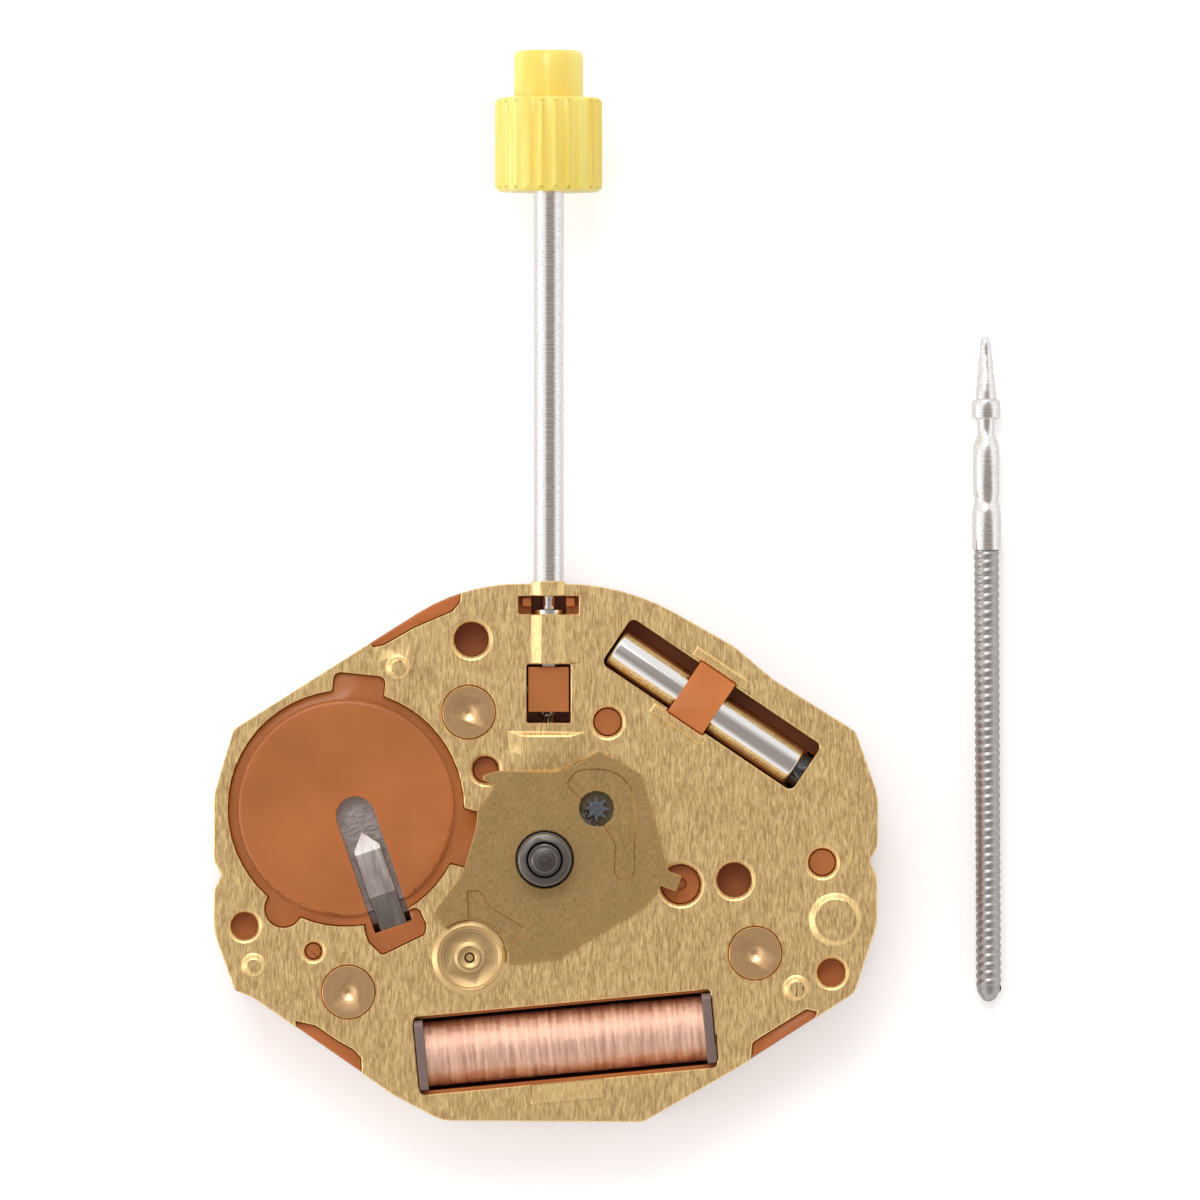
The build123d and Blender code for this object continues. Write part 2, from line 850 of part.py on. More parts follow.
# Regions of the back: inside the rim wall, clear of the cell and of the coil
rim_wall = 0.50
cell_wall = 0.15
coil_wall = 0.20


def back_region(grow):
    """Field that the bridge and the circuit fill, grown by a clearance."""
    with BuildSketch() as profile:
        add(rounded(movement_outline_shares))
        offset(amount=grow - rim_wall, kind=Kind.INTERSECTION)
        with Locations(battery_axis):
            Circle(battery_radius + seat_clearance + cell_wall - grow, mode=Mode.SUBTRACT)
        with Locations(Location((*coil_place, 0), (0, 0, coil_tilt))):
            Rectangle(
                coil_window_length + 2 * (coil_wall - grow),
                coil_window_width + 2 * (coil_wall - grow),
                mode=Mode.SUBTRACT,
            )
    return profile.sketch.faces().sort_by(SortBy.AREA)[-1]


# Soft iron core and stator, whose ends are clamped under the two lower pillars
core_width = 0.80
core_ear_radius = 0.60
stator_ring_radius = 1.02
stator_bore_radius = 0.62
stator_arm_width = 0.80
left_pillar, right_pillar, stem_pillar = pillar_places
core_left = coil_point(-coil_window_length / 2 - seat_clearance, 0)
core_right = coil_point(coil_window_length / 2 + seat_clearance, 0)


def core_sketch(grow):
    """Strip through the coil and its two ears."""
    with BuildSketch() as profile:
        strip(core_left, core_right, core_width + 2 * grow)
        for end, pillar in ((core_left, left_pillar), (core_right, right_pillar)):
            strip(end, pillar, core_width + 2 * grow)
            with Locations(pillar):
                Circle(core_ear_radius + grow)
    return profile.sketch


def stator_sketch(grow):
    """Ring round the rotor with an arm to each lower pillar."""
    with BuildSketch() as profile:
        with Locations(rotor_axis):
            Circle(stator_ring_radius + grow)
        for pillar in (left_pillar, right_pillar):
            strip(rotor_axis, pillar, stator_arm_width + 2 * grow)
            with Locations(pillar):
                Circle(core_ear_radius + grow)
    return profile.sketch


with BuildPart() as coil_core:
    with BuildSketch(Plane.XY.offset(core_low)):
        add(core_sketch(0))
    extrude(amount=core_thickness)
    for pillar in (left_pillar, right_pillar):
        post(pillar, screw_radius, core_low, core_high, Mode.SUBTRACT)
coil_core.part.label = "coil_core"
export_step(coil_core.part, "parts/coil_core.step")

with BuildPart() as stator:
    with BuildSketch(Plane.XY.offset(stator_low)):
        add(stator_sketch(0))
    extrude(amount=core_thickness)
    post(rotor_axis, stator_bore_radius, stator_low, core_low, Mode.SUBTRACT)
    for pillar in (left_pillar, right_pillar):
        post(pillar, screw_radius, stator_low, core_low, Mode.SUBTRACT)
stator.part.label = "stator"
export_step(stator.part, "parts/stator.step")

# Coil: winding round the core between two flanges
coil_level = (core_high + core_low) / 2
flange_width = 2 * (coil_radius + flange_side)
coil_axis = Plane((*coil_place, coil_level), x_dir=(0, 0, 1), z_dir=coil_direction)
with BuildPart() as coil_winding:
    with BuildSketch(coil_axis.offset(-coil_length / 2)):
        Circle(coil_radius)
        Rectangle(core_thickness, core_width, mode=Mode.SUBTRACT)
    extrude(amount=coil_length)
coil_winding.part.label = "coil_winding"
export_step(coil_winding.part, "parts/coil_winding.step")

with BuildPart() as coil_flanges:
    for start in (-coil_length / 2 - flange_thickness, coil_length / 2):
        with BuildSketch(coil_axis.offset(start)):
            RectangleRounded(flange_width, flange_width, 3 * seat_clearance)
            Rectangle(core_thickness, core_width, mode=Mode.SUBTRACT)
        extrude(amount=flange_thickness)
coil_flanges.part.label = "coil_flanges"
export_step(coil_flanges.part, "parts/coil_flanges.step")

# Crystal: drawn can, and its glass base with the two leads that bend down to the board
can_wall_radius = 0.08
base_length = 0.22
lead_radius = 0.06
lead_gap = 0.30
lead_reach = 0.30
can_start = crystal_point(crystal_along - crystal_length / 2, crystal_across)
can_direction = (*polar((0, 0), 1, crystal_tilt), 0)
crystal_plane = Plane((*can_start, crystal_level), x_dir=(0, 0, 1), z_dir=can_direction)
with BuildPart() as crystal_can:
    with BuildSketch(crystal_plane):
        Circle(crystal_radius)
    extrude(amount=crystal_length)
    fillet(crystal_can.edges().filter_by(GeomType.CIRCLE), can_wall_radius)
crystal_can.part.label = "crystal_can"
export_step(crystal_can.part, "parts/crystal_can.step")

lead_end = crystal_along + crystal_length / 2 + base_length + lead_reach
with BuildPart() as crystal_base:
    with BuildSketch(crystal_plane.offset(crystal_length)):
        Circle(crystal_radius - can_wall_radius)
    extrude(amount=base_length)
    with BuildSketch(crystal_plane.offset(crystal_length + base_length)):
        with Locations((0, -lead_gap / 2), (0, lead_gap / 2)):
            Circle(lead_radius)
    extrude(amount=lead_reach)
    for side in (-1, 1):
        foot = crystal_point(lead_end, crystal_across + side * lead_gap / 2)
        post(foot, lead_radius, board_inside, crystal_level + lead_radius)
crystal_base.part.label = "crystal_base"
export_step(crystal_base.part, "parts/crystal_base.step")

# Setting lever and yoke: each swings on a post of the frame, by the travel that it passes on, and
# has a long hub, which keeps the thin arm level
lever_thickness = 0.14
lever_hub_radius = 0.24
lever_hub_drop = 0.45
lever_reach = 0.65
lever_nose_radius = 0.11
lever_post_radius = 0.08
lever_low = stem_level - lever_thickness / 2
lever_high = stem_level + lever_thickness / 2
lever_hub_low = lever_low - lever_hub_drop
lever_floor = lever_low - seat_clearance
groove_radius = 0.16
groove_half_width = 0.15
groove_distance = 0.43
groove_place = tunnel_inner_end + groove_distance
nose_gap = 0.005
setting_nose = (stem_across - stem_radius + nose_gap, groove_place)
setting_pivot = (setting_nose[0] - lever_reach, groove_place + stem_pull / 2)
yoke_nose_radius = 0.07
yoke_nose = (
    stem_across - clutch_half_width - nose_gap,
    (clutch_inner_end + clutch_outer_end) / 2,
)
yoke_pivot = (yoke_nose[0] - lever_reach, yoke_nose[1] - clutch_shift / 2)

# Plastic module frame, which carries everything between the plate and the back
coil_pocket_side = 0.05
crystal_pocket_floor = crystal_level - crystal_radius - seat_clearance
foot_pit_depths = (0.32, 0.28)
clutch_floor = stem_level - clutch_depth
slot_side_room = 0.055
slot_half_width = stem_radius + slot_side_room
slot_tab_size = 0.20
ledge_sink = 0.13
frame_ledge_top = plate_top - ledge_sink
peg_sink = 0.12
peg_top = plate_top - peg_sink
deep_peg_sink = 0.30
deep_pegged_holes = (5, 6)
bored_peg = 6
peg_bore_radius = 0.144
floor_edge_radius = 0.10
side_window_half = 1.0
pilot_length = 0.60
pilot_end = clutch_window_inner_end - pilot_length
train_circles = [
    (centre_axis, tip_radius(centre_teeth, train_module)),
    (third_axis, tip_radius(third_teeth, train_module)),
    (intermediate_axis, tip_radius(intermediate_teeth, train_module)),
    (rotor_axis, stator_bore_radius),
]
with BuildPart() as module_frame:
    with BuildSketch(Plane.XY.offset(cover_inside)):
        add(rounded(movement_outline_shares))
    extrude(amount=plate_bottom - cover_inside)
    for rim_shares in (upper_rim_shares, left_rim_shares, right_rim_shares):
        with BuildSketch(Plane.XY.offset(plate_bottom)):
            add(rounded(movement_outline_shares))
            add(rounded(rim_shares), mode=Mode.INTERSECT)
            offset(amount=-running_clearance)
        extrude(amount=frame_ledge_top - plate_bottom)
    with BuildSketch(Plane.XY.offset(plate_bottom)):
        add(lug_sketch(0))
    extrude(amount=plate_top - 3 * seat_clearance - plate_bottom)
    with BuildSketch(Plane.XY.offset(plate_bottom)):
        with Locations(battery_axis):
            Circle(battery_floor_radius)
    extrude(amount=battery_floor_top - plate_bottom)
    fillet(
        module_frame.faces().sort_by(Axis.Z)[-1].edges(),
        floor_edge_radius,
    )
    post(battery_axis, battery_radius + seat_clearance, cover_inside, battery_top, Mode.SUBTRACT)
    block(
        (battery_axis[0] - battery_radius, battery_axis[1]),
        4 * cell_wall,
        2 * side_window_half,
        cover_inside,
        battery_top,
        mode=Mode.SUBTRACT,
    )
    with BuildSketch(Plane.XY.offset(battery_top)):
        with Locations(contact_start):
            Circle(contact_slot_width / 2)
        middle = contact_point(contact_slot_end / 2, 0)
        with Locations(Location((*middle, 0), (0, 0, contact_angle))):
            Rectangle(contact_slot_end, contact_slot_width)
    extrude(amount=-battery_top, mode=Mode.SUBTRACT)
    block(
        contact_point((contact_foot_start + contact_foot_end) / 2, 0),
        contact_foot_end - contact_foot_start + 2 * seat_clearance,
        contact_width + 2 * seat_clearance,
        battery_top,
        contact_foot_high + running_clearance,
        contact_angle,
        Mode.SUBTRACT,
    )
    with BuildSketch(Plane.XY.offset(cover_inside)):
        add(back_region(seat_clearance))
    extrude(amount=bridge_inside - cover_inside, mode=Mode.SUBTRACT)
    for axis, radius in train_circles:
        post(axis, radius + 2 * seat_clearance, bridge_inside, plate_bottom, Mode.SUBTRACT)
    with BuildSketch(Plane.XY.offset(bridge_inside)):
        add(stator_sketch(seat_clearance))
    extrude(amount=core_low - bridge_inside, mode=Mode.SUBTRACT)
    with BuildSketch(Plane.XY.offset(bridge_inside)):
        add(core_sketch(seat_clearance))
    extrude(amount=core_high - bridge_inside, mode=Mode.SUBTRACT)
    block(
        coil_place,
        coil_window_length + 2 * coil_pocket_side,
        flange_width + 2 * running_clearance,
        cover_inside,
        plate_bottom,
        coil_tilt,
        Mode.SUBTRACT,
    )
    for centre in pillar_places:
        post(centre, pillar_radius + running_clearance, bridge_inside, plate_bottom, Mode.SUBTRACT)
    block(
        crystal_place,
        crystal_window_length,
        crystal_window_width,
        crystal_pocket_floor,
        plate_bottom,
        crystal_tilt,
        Mode.SUBTRACT,
    )
    block(
        crystal_point(lead_end, crystal_across),
        3 * lead_reach,
        3 * lead_gap,
        bridge_inside,
        plate_bottom,
        crystal_tilt,
        Mode.SUBTRACT,
    )
    for side in (-1, 1):
        block(
            crystal_point(strap_along, side * (strap_span - strap_leg) / 2),
            strap_width,
            strap_leg,
            plate_bottom - 2 * strap_thickness,
            strap_top,
            crystal_tilt,
        )
    block(
        crystal_point(strap_along, 0),
        strap_width,
        strap_span,
        strap_top - strap_thickness,
        strap_top,
        crystal_tilt,
    )
    for foot_place, depth in zip(dial_foot_places, foot_pit_depths):
        post(
            foot_place,
            dial_foot_radius + seat_clearance,
            plate_bottom - depth,
            plate_bottom,
            Mode.SUBTRACT,
        )
    for index in pegged_holes:
        along, across, share = small_hole_shares[index]
        post(
            place((along, across)),
            share * dial_foot_radius - running_clearance,
            plate_bottom,
            peg_top,
        )
    for index in deep_pegged_holes:
        along, across, share = small_hole_shares[index]
        post(
            place((along, across)),
            share * dial_foot_radius - running_clearance,
            plate_bottom,
            plate_top - deep_peg_sink,
        )
    post(
        place(small_hole_shares[bored_peg][:2]),
        peg_bore_radius,
        plate_bottom,
        plate_top - deep_peg_sink,
        Mode.SUBTRACT,
    )
    block(
        (stem_across, (clutch_window_inner_end + tunnel_inner_end) / 2),
        2 * clutch_window_half_width,
        tunnel_inner_end - clutch_window_inner_end,
        clutch_floor,
        plate_bottom,
        mode=Mode.SUBTRACT,
    )
    block(
        (stem_across, (tunnel_outer_end + slot_outer_end) / 2),
        2 * slot_half_width,
        slot_outer_end - tunnel_outer_end,
        clutch_floor,
        plate_bottom,
        mode=Mode.SUBTRACT,
    )
    for side in (-1, 1):
        block(
            (
                stem_across + side * (slot_half_width + slot_tab_size / 2),
                slot_outer_end - slot_tab_size / 2 - 2 * running_clearance,
            ),
            slot_tab_size,
            slot_tab_size,
            plate_bottom,
            peg_top,
        )
    for pivot, nose in ((setting_pivot, setting_nose), (yoke_pivot, yoke_nose)):
        hub_floor = lever_hub_low - seat_clearance
        post(pivot, lever_hub_radius + seat_clearance, hub_floor, plate_bottom, Mode.SUBTRACT)
        travel = 2 * abs(nose[1] - pivot[1])
        block(
            ((pivot[0] + stem_across) / 2, pivot[1]),
            stem_across - pivot[0],
            travel + 2 * lever_nose_radius + 2 * seat_clearance,
            lever_floor,
            plate_bottom,
            mode=Mode.SUBTRACT,
        )
        post(pivot, lever_post_radius, hub_floor, lever_high)
    rod_along_stem(
        stem_radius + running_clearance,
        tunnel_inner_end - seat_clearance,
        tunnel_mouth + cut_overrun,
        across=stem_across,
        mode=Mode.SUBTRACT,
    )
    rod_along_stem(
        stem_pilot_radius + running_clearance,
        pilot_end - seat_clearance,
        clutch_window_inner_end + seat_clearance,
        across=stem_across,
        mode=Mode.SUBTRACT,
    )
module_frame.part.label = "module_frame"
export_step(module_frame.part, "parts/module_frame.step")

# Negative contact: a sprung strip from its foot under the floor's end lug to the cell's cap
contact_slope = (contact_high - battery_top) / (contact_flat_start - contact_tip)
contact_heel = contact_flat_start - (contact_high - contact_thickness - battery_top) / contact_slope
contact_bend = 0.035
contact_plane = Plane(
    (*contact_start, 0),
    x_dir=(*polar((0, 0), 1, contact_angle), 0),
    z_dir=(*polar((0, 0), 1, contact_angle - 90), 0),
)
with BuildPart() as battery_contact:
    with BuildSketch(contact_plane):
        with BuildLine():
            Polyline(
                (contact_tip, battery_top),
                (contact_flat_start, contact_high),
                (contact_flat_end, contact_high),
                (contact_foot_start, contact_foot_high),
                (contact_foot_end, contact_foot_high),
                (contact_foot_end, battery_top),
                (contact_foot_start - contact_bend, battery_top),
                (contact_flat_end - contact_bend, contact_high - contact_thickness),
                (contact_flat_start + contact_bend, contact_high - contact_thickness),
                (contact_heel + contact_bend, battery_top),
                close=True,
            )
        make_face()
    extrude(amount=contact_width / 2, both=True)
    with BuildSketch(Plane.XY.offset(battery_top)):
        with BuildLine():
            Polyline(
                contact_point(contact_tip, 0),
                contact_point(contact_shoulder, contact_width / 2),
                contact_point(contact_foot_end, contact_width / 2),
                contact_point(contact_foot_end, -contact_width / 2),
                contact_point(contact_shoulder, -contact_width / 2),
                close=True,
            )
        make_face()
    extrude(amount=-battery_top, mode=Mode.INTERSECT)
battery_contact.part.label = "battery_contact"
export_step(battery_contact.part, "parts/battery_contact.step")

# Button cell: can towards the back, sealed cap towards the dial
crimp_height = 0.30
with BuildPart() as battery:
    post(battery_axis, battery_radius, cover_inside, battery_top - battery_cap_height)
    chamfer(battery.edges().filter_by(GeomType.CIRCLE), crimp_height / 2)
    post(battery_axis, battery_cap_radius, battery_top - crimp_height, battery_top)
battery.part.label = "battery"
export_step(battery.part, "parts/battery.step")

# Train bridge: closes the train from the back and spaces the stator from it
spacer_radius = 0.50
with BuildPart() as train_bridge:
    with BuildSketch(Plane.XY.offset(board_inside)):
        add(back_region(0))
    extrude(amount=bridge_thickness)
    for pillar in (left_pillar, right_pillar):
        post(pillar, spacer_radius, bridge_inside, stator_low)
    for pillar in pillar_places:
        post(pillar, screw_radius, board_inside, stator_low, Mode.SUBTRACT)
    for axis in (centre_axis, third_axis, intermediate_axis, rotor_axis):
        post(axis, pivot_hole_radius, board_inside, bridge_inside, Mode.SUBTRACT)
train_bridge.part.label = "train_bridge"
export_step(train_bridge.part, "parts/train_bridge.step")

# Circuit: board, chip under its drop of resin, and the insulator that presses the board down
board_edge_share = -0.155
chip_place = place((0.205, 0.035))
chip_radius = 0.85
chip_height = 0.20
chip_window_radius = 1.0
with BuildPart() as circuit_board:
    with BuildSketch(Plane.XY.offset(board_outside)):
        add(back_region(0))
        with Locations((board_edge_share * plate_length, 0)):
            Rectangle(
                plate_length,
                plate_width,
                align=(Align.MIN, Align.CENTER),
                mode=Mode.INTERSECT,
            )
    extrude(amount=board_thickness)
    for pillar in (right_pillar, stem_pillar):
        post(pillar, screw_radius, board_outside, board_inside, Mode.SUBTRACT)
circuit_board.part.label = "circuit_board"
export_step(circuit_board.part, "parts/circuit_board.step")

with BuildPart() as chip:
    post(chip_place, chip_radius, board_outside - chip_height, board_outside)
    chamfer(chip.edges().sort_by(Axis.Z)[0], chip_height / 2)
chip.part.label = "chip"
export_step(chip.part, "parts/chip.step")

with BuildPart() as circuit_insulator:
    with BuildSketch(Plane.XY.offset(cover_inside)):
        add(back_region(0))
    extrude(amount=insulator_thickness)
    post(left_pillar, spacer_radius, board_outside, board_inside)
    for pillar in pillar_places:
        post(pillar, screw_radius, cover_inside, board_inside, Mode.SUBTRACT)
    post(chip_place, chip_window_radius, cover_inside, board_outside, Mode.SUBTRACT)
circuit_insulator.part.label = "circuit_insulator"
export_step(circuit_insulator.part, "parts/circuit_insulator.step")

# Back cover: holds the circuit, and its fingers hold the cell and carry its positive pole
cover_margin = 0.20
finger_width = 0.70
finger_angles = (12.0, -48.0)
finger_start = 1.1
with BuildPart() as back_cover:
    with BuildSketch(Plane.XY.offset(cover_outside)):
        add(rounded(movement_outline_shares))
        offset(amount=-cover_margin, kind=Kind.INTERSECTION)
        with Locations(battery_axis):
            Circle(battery_radius - 2 * cell_wall, mode=Mode.SUBTRACT)
        with Locations(Location((*coil_place, 0), (0, 0, coil_tilt))):
            Rectangle(coil_window_length, coil_window_width, mode=Mode.SUBTRACT)
        with Locations(chip_place):
            Circle(chip_window_radius, mode=Mode.SUBTRACT)
        with Locations(polar(battery_axis, battery_radius + cover_margin, 180)):
            Rectangle(2 * battery_radius, 2 * battery_radius, mode=Mode.SUBTRACT)
        for angle in finger_angles:
            strip(
                polar(battery_axis, finger_start, angle),
                polar(battery_axis, battery_radius, angle),
                finger_width,
            )
    extrude(amount=back_cover_thickness)
    for pillar in pillar_places:
        post(pillar, screw_radius, cover_outside, cover_inside, Mode.SUBTRACT)
back_cover.part.label = "back_cover"
export_step(back_cover.part, "parts/back_cover.step")

# The three screws that clamp the stack to the pillars
screw_slot_width = 0.12
with BuildPart() as cover_screws:
    for pillar in pillar_places:
        post(pillar, screw_head_radius, rest_level, cover_outside)
        post(pillar, screw_radius, cover_outside, pillar_bore_top - seat_clearance)
        block(
            pillar,
            2 * screw_head_radius,
            screw_slot_width,
            rest_level,
            rest_level + screw_head_height / 2,
            angle=bearing(centre_axis, pillar),
            mode=Mode.SUBTRACT,
        )
cover_screws.part.label = "cover_screws"
export_step(cover_screws.part, "parts/cover_screws.step")

# Wheels with round lightening holes, on their pinions and arbors
arbor_radius = 0.11
window_place_share = 0.62
window_radius_share = 0.20
window_count = 4


def wheel_sketch(teeth, module, phase, bore):
    """Toothed wheel with a bore and round lightening holes."""
    with BuildSketch() as profile:
        add(gear(teeth, module, phase))
        Circle(bore, mode=Mode.SUBTRACT)
        with PolarLocations(window_place_share * pitch_radius(teeth, module), window_count):
            Circle(window_radius_share * pitch_radius(teeth, module), mode=Mode.SUBTRACT)
    return profile.sketch


train_wheels = [
    (
        "centre_wheel",
        centre_axis,
        centre_teeth,
        centre_phase,
        centre_wheel_low,
    ),
    ("third_wheel", third_axis, third_teeth, third_phase, third_wheel_low),
    (
        "intermediate_wheel",
        intermediate_axis,
        intermediate_teeth,
        intermediate_phase,
        intermediate_wheel_low,
    ),
]
for name, axis, teeth, phase, low in train_wheels:
    with BuildPart() as train_wheel:
        with BuildSketch(Plane.XY.offset(low)):
            with Locations(axis):
                add(wheel_sketch(teeth, train_module, phase, arbor_radius))
        extrude(amount=wheel_thickness)
    train_wheel.part.label = name
    export_step(train_wheel.part, f"parts/{name}.step")

# Arbors of the train: pivots at both ends and the leaves that drive the next wheel
pivot_low = board_inside + seat_clearance
train_arbors = [
    (
        "third_pinion",
        third_axis,
        third_leaves,
        bearing(third_axis, centre_axis),
        third_wheel_high,
        centre_wheel_high + pinion_overlap,
        plate_bottom + pivot_depth - seat_clearance,
    ),
    (
        "intermediate_pinion",
        intermediate_axis,
        intermediate_leaves,
        bearing(intermediate_axis, third_axis),
        third_wheel_low - pinion_overlap,
        third_wheel_high + pinion_overlap,
        plate_bottom + pivot_depth - seat_clearance,
    ),
]
for name, axis, leaves, phase, low, high, pivot_high in train_arbors:
    with BuildPart() as arbor:
        post(axis, pivot_radius, pivot_low, pivot_high)
        post(axis, arbor_radius, bridge_inside + running_clearance, plate_bottom - running_clearance)
        with BuildSketch(Plane.XY.offset(low)):
            with Locations(axis):
                add(gear(leaves, train_module, phase))
        extrude(amount=high - low)
    arbor.part.label = name
    export_step(arbor.part, f"parts/{name}.step")

with BuildPart() as rotor_pinion:
    post(rotor_axis, pivot_radius, pivot_low, plate_top)
    post(rotor_axis, arbor_radius, bridge_inside + running_clearance, plate_bottom - seat_clearance)
    with BuildSketch(Plane.XY.offset(intermediate_wheel_low - pinion_overlap)):
        with Locations(rotor_axis):
            add(gear(rotor_leaves, train_module, rotor_phase))
    extrude(amount=wheel_thickness + 2 * pinion_overlap)
rotor_pinion.part.label = "rotor_pinion"
export_step(rotor_pinion.part, "parts/rotor_pinion.step")

magnet_gap = 0.10
with BuildPart() as rotor_magnet:
    post(rotor_axis, stator_bore_radius - magnet_gap, stator_low, core_low)
    post(rotor_axis, arbor_radius, stator_low, core_low, Mode.SUBTRACT)
rotor_magnet.part.label = "rotor_magnet"
export_step(rotor_magnet.part, "parts/rotor_magnet.step")

# Centre arbor and the cannon pinion that carries the minute hand
post_chamfer = 0.065
with BuildPart() as centre_arbor:
    post(centre_axis, pivot_radius, pivot_low, centre_wheel_low)
    post(centre_axis, arbor_radius, bridge_inside + running_clearance, hour_seat_height)
centre_arbor.part.label = "centre_arbor"
export_step(centre_arbor.part, "parts/centre_arbor.step")

with BuildPart() as cannon_pinion:
    with BuildSketch(Plane.XY.offset(minute_wheel_low)):
        add(gear(cannon_leaves, motion_module, minute_direction))
    extrude(amount=wheel_thickness)
    tapered(
        centre_axis,
        minute_shoulder_radius + shoulder_taper,
        minute_shoulder_radius,
        minute_wheel_low,
        minute_shoulder_height,
    )
    post(centre_axis, minute_seat_radius, minute_shoulder_height, minute_seat_height)
    chamfer(cannon_pinion.edges().sort_by(Axis.Z)[-1], post_chamfer)
    post(centre_axis, arbor_radius, minute_wheel_low, hour_seat_height, Mode.SUBTRACT)
cannon_pinion.part.label = "cannon_pinion"
export_step(cannon_pinion.part, "parts/cannon_pinion.step")

# Minute wheel, its star-shaped pinion, the hour wheel and the setting wheel
pinion_top = -0.03
with BuildPart() as minute_wheel:
    with BuildSketch(Plane.XY.offset(minute_wheel_low)):
        with Locations(minute_axis):
            add(wheel_sketch(minute_teeth, motion_module, minute_phase, arbor_radius))
    extrude(amount=wheel_thickness)
minute_wheel.part.label = "minute_wheel"
export_step(minute_wheel.part, "parts/minute_wheel.step")

with BuildPart() as minute_pinion:
    post(minute_axis, minute_pivot_radius, plate_bottom, minute_wheel_low)
    post(minute_axis, arbor_radius, minute_wheel_low, hour_wheel_low)
    with BuildSketch(Plane.XY.offset(minute_wheel_high)):
        with Locations(minute_axis):
            add(gear(minute_leaves, hour_module, minute_direction + 180))
    extrude(amount=pinion_top - minute_wheel_high)
minute_pinion.part.label = "minute_pinion"
export_step(minute_pinion.part, "parts/minute_pinion.step")

hour_bore_radius = minute_shoulder_radius + 2 * running_clearance
with BuildPart() as hour_wheel:
    with BuildSketch(Plane.XY.offset(hour_wheel_low)):
        add(gear(hour_teeth, hour_module, hour_phase))
    extrude(amount=wheel_thickness)
    tapered(
        centre_axis,
        hour_shoulder_radius + shoulder_taper,
        hour_shoulder_radius,
        hour_wheel_low,
        0,
    )
    post(centre_axis, hour_seat_radius, 0, hour_seat_height)
    chamfer(hour_wheel.edges().sort_by(Axis.Z)[-1], post_chamfer / 2)
    post(centre_axis, hour_bore_radius, hour_wheel_low, hour_seat_height, Mode.SUBTRACT)
hour_wheel.part.label = "hour_wheel"
export_step(hour_wheel.part, "parts/hour_wheel.step")

with BuildPart() as setting_wheel:
    with BuildSketch(Plane.XY.offset(setting_wheel_low)):
        with Locations(setting_axis):
            add(gear(setting_teeth, motion_module, setting_phase))
            Circle(wheel_post_radius + running_clearance, mode=Mode.SUBTRACT)
    extrude(amount=wheel_thickness + seat_clearance)
setting_wheel.part.label = "setting_wheel"
export_step(setting_wheel.part, "parts/setting_wheel.step")

# Setting stem: shank, neck, lever groove, square for the sliding pinion, pilot
neck_distance = 0.11
shoulder_distance = 0.05
square_distance = 0.18
knob_distance = 8.93
knob_bore_depth = 1.30
neck_inner_end = tunnel_outer_end + neck_distance
shoulder_place = tunnel_inner_end + shoulder_distance
square_inner_end = clutch_window_inner_end + square_distance
knob_place = tunnel_mouth + knob_distance
stem_end = knob_place + knob_bore_depth
with BuildPart() as setting_stem:
    rod_along_stem(stem_radius, slot_outer_end, stem_end, across=stem_across)
    rod_along_stem(groove_radius, neck_inner_end, slot_outer_end, across=stem_across)
    rod_along_stem(
        stem_radius, groove_place + groove_half_width, neck_inner_end, across=stem_across
    )
    rod_along_stem(
        groove_radius,
        groove_place - groove_half_width,
        groove_place + groove_half_width,
        across=stem_across,
    )
    rod_along_stem(
        stem_radius, shoulder_place, groove_place - groove_half_width, across=stem_across
    )
    with Locations((stem_across, (shoulder_place + square_inner_end) / 2, stem_level)):
        Box(stem_square, shoulder_place - square_inner_end, stem_square)
    rod_along_stem(stem_pilot_radius, pilot_end, square_inner_end, across=stem_across)
setting_stem.part.label = "setting_stem"
export_step(setting_stem.part, "parts/setting_stem.step")

# Knob of the setting stem: fluted body and plain boss
flute_radius = 0.20
flute_distance = 0.15
knob_edge = 0.10
flute_place = knob_radius + flute_distance
knob_plane = Plane((stem_across, knob_place, stem_level), x_dir=(1, 0, 0), z_dir=(0, 1, 0))
with BuildPart() as setting_knob:
    with BuildSketch(knob_plane):
        Circle(knob_radius)
    extrude(amount=knob_length)
    chamfer(setting_knob.edges().filter_by(GeomType.CIRCLE), knob_edge)
    with BuildSketch(knob_plane):
        with PolarLocations(flute_place, knob_flutes):
            Circle(flute_radius)
    extrude(amount=knob_length, mode=Mode.SUBTRACT)
    with BuildSketch(knob_plane.offset(knob_length)):
        Circle(knob_boss_radius)
    extrude(amount=knob_boss_length)
    chamfer(
        setting_knob.faces().sort_by(Axis.Y)[-1].edges().filter_by(GeomType.CIRCLE),
        knob_edge,
    )
    rod_along_stem(
        stem_radius, knob_place, stem_end, across=stem_across, mode=Mode.SUBTRACT
    )
setting_knob.part.label = "setting_knob"
export_step(setting_knob.part, "parts/setting_knob.step")

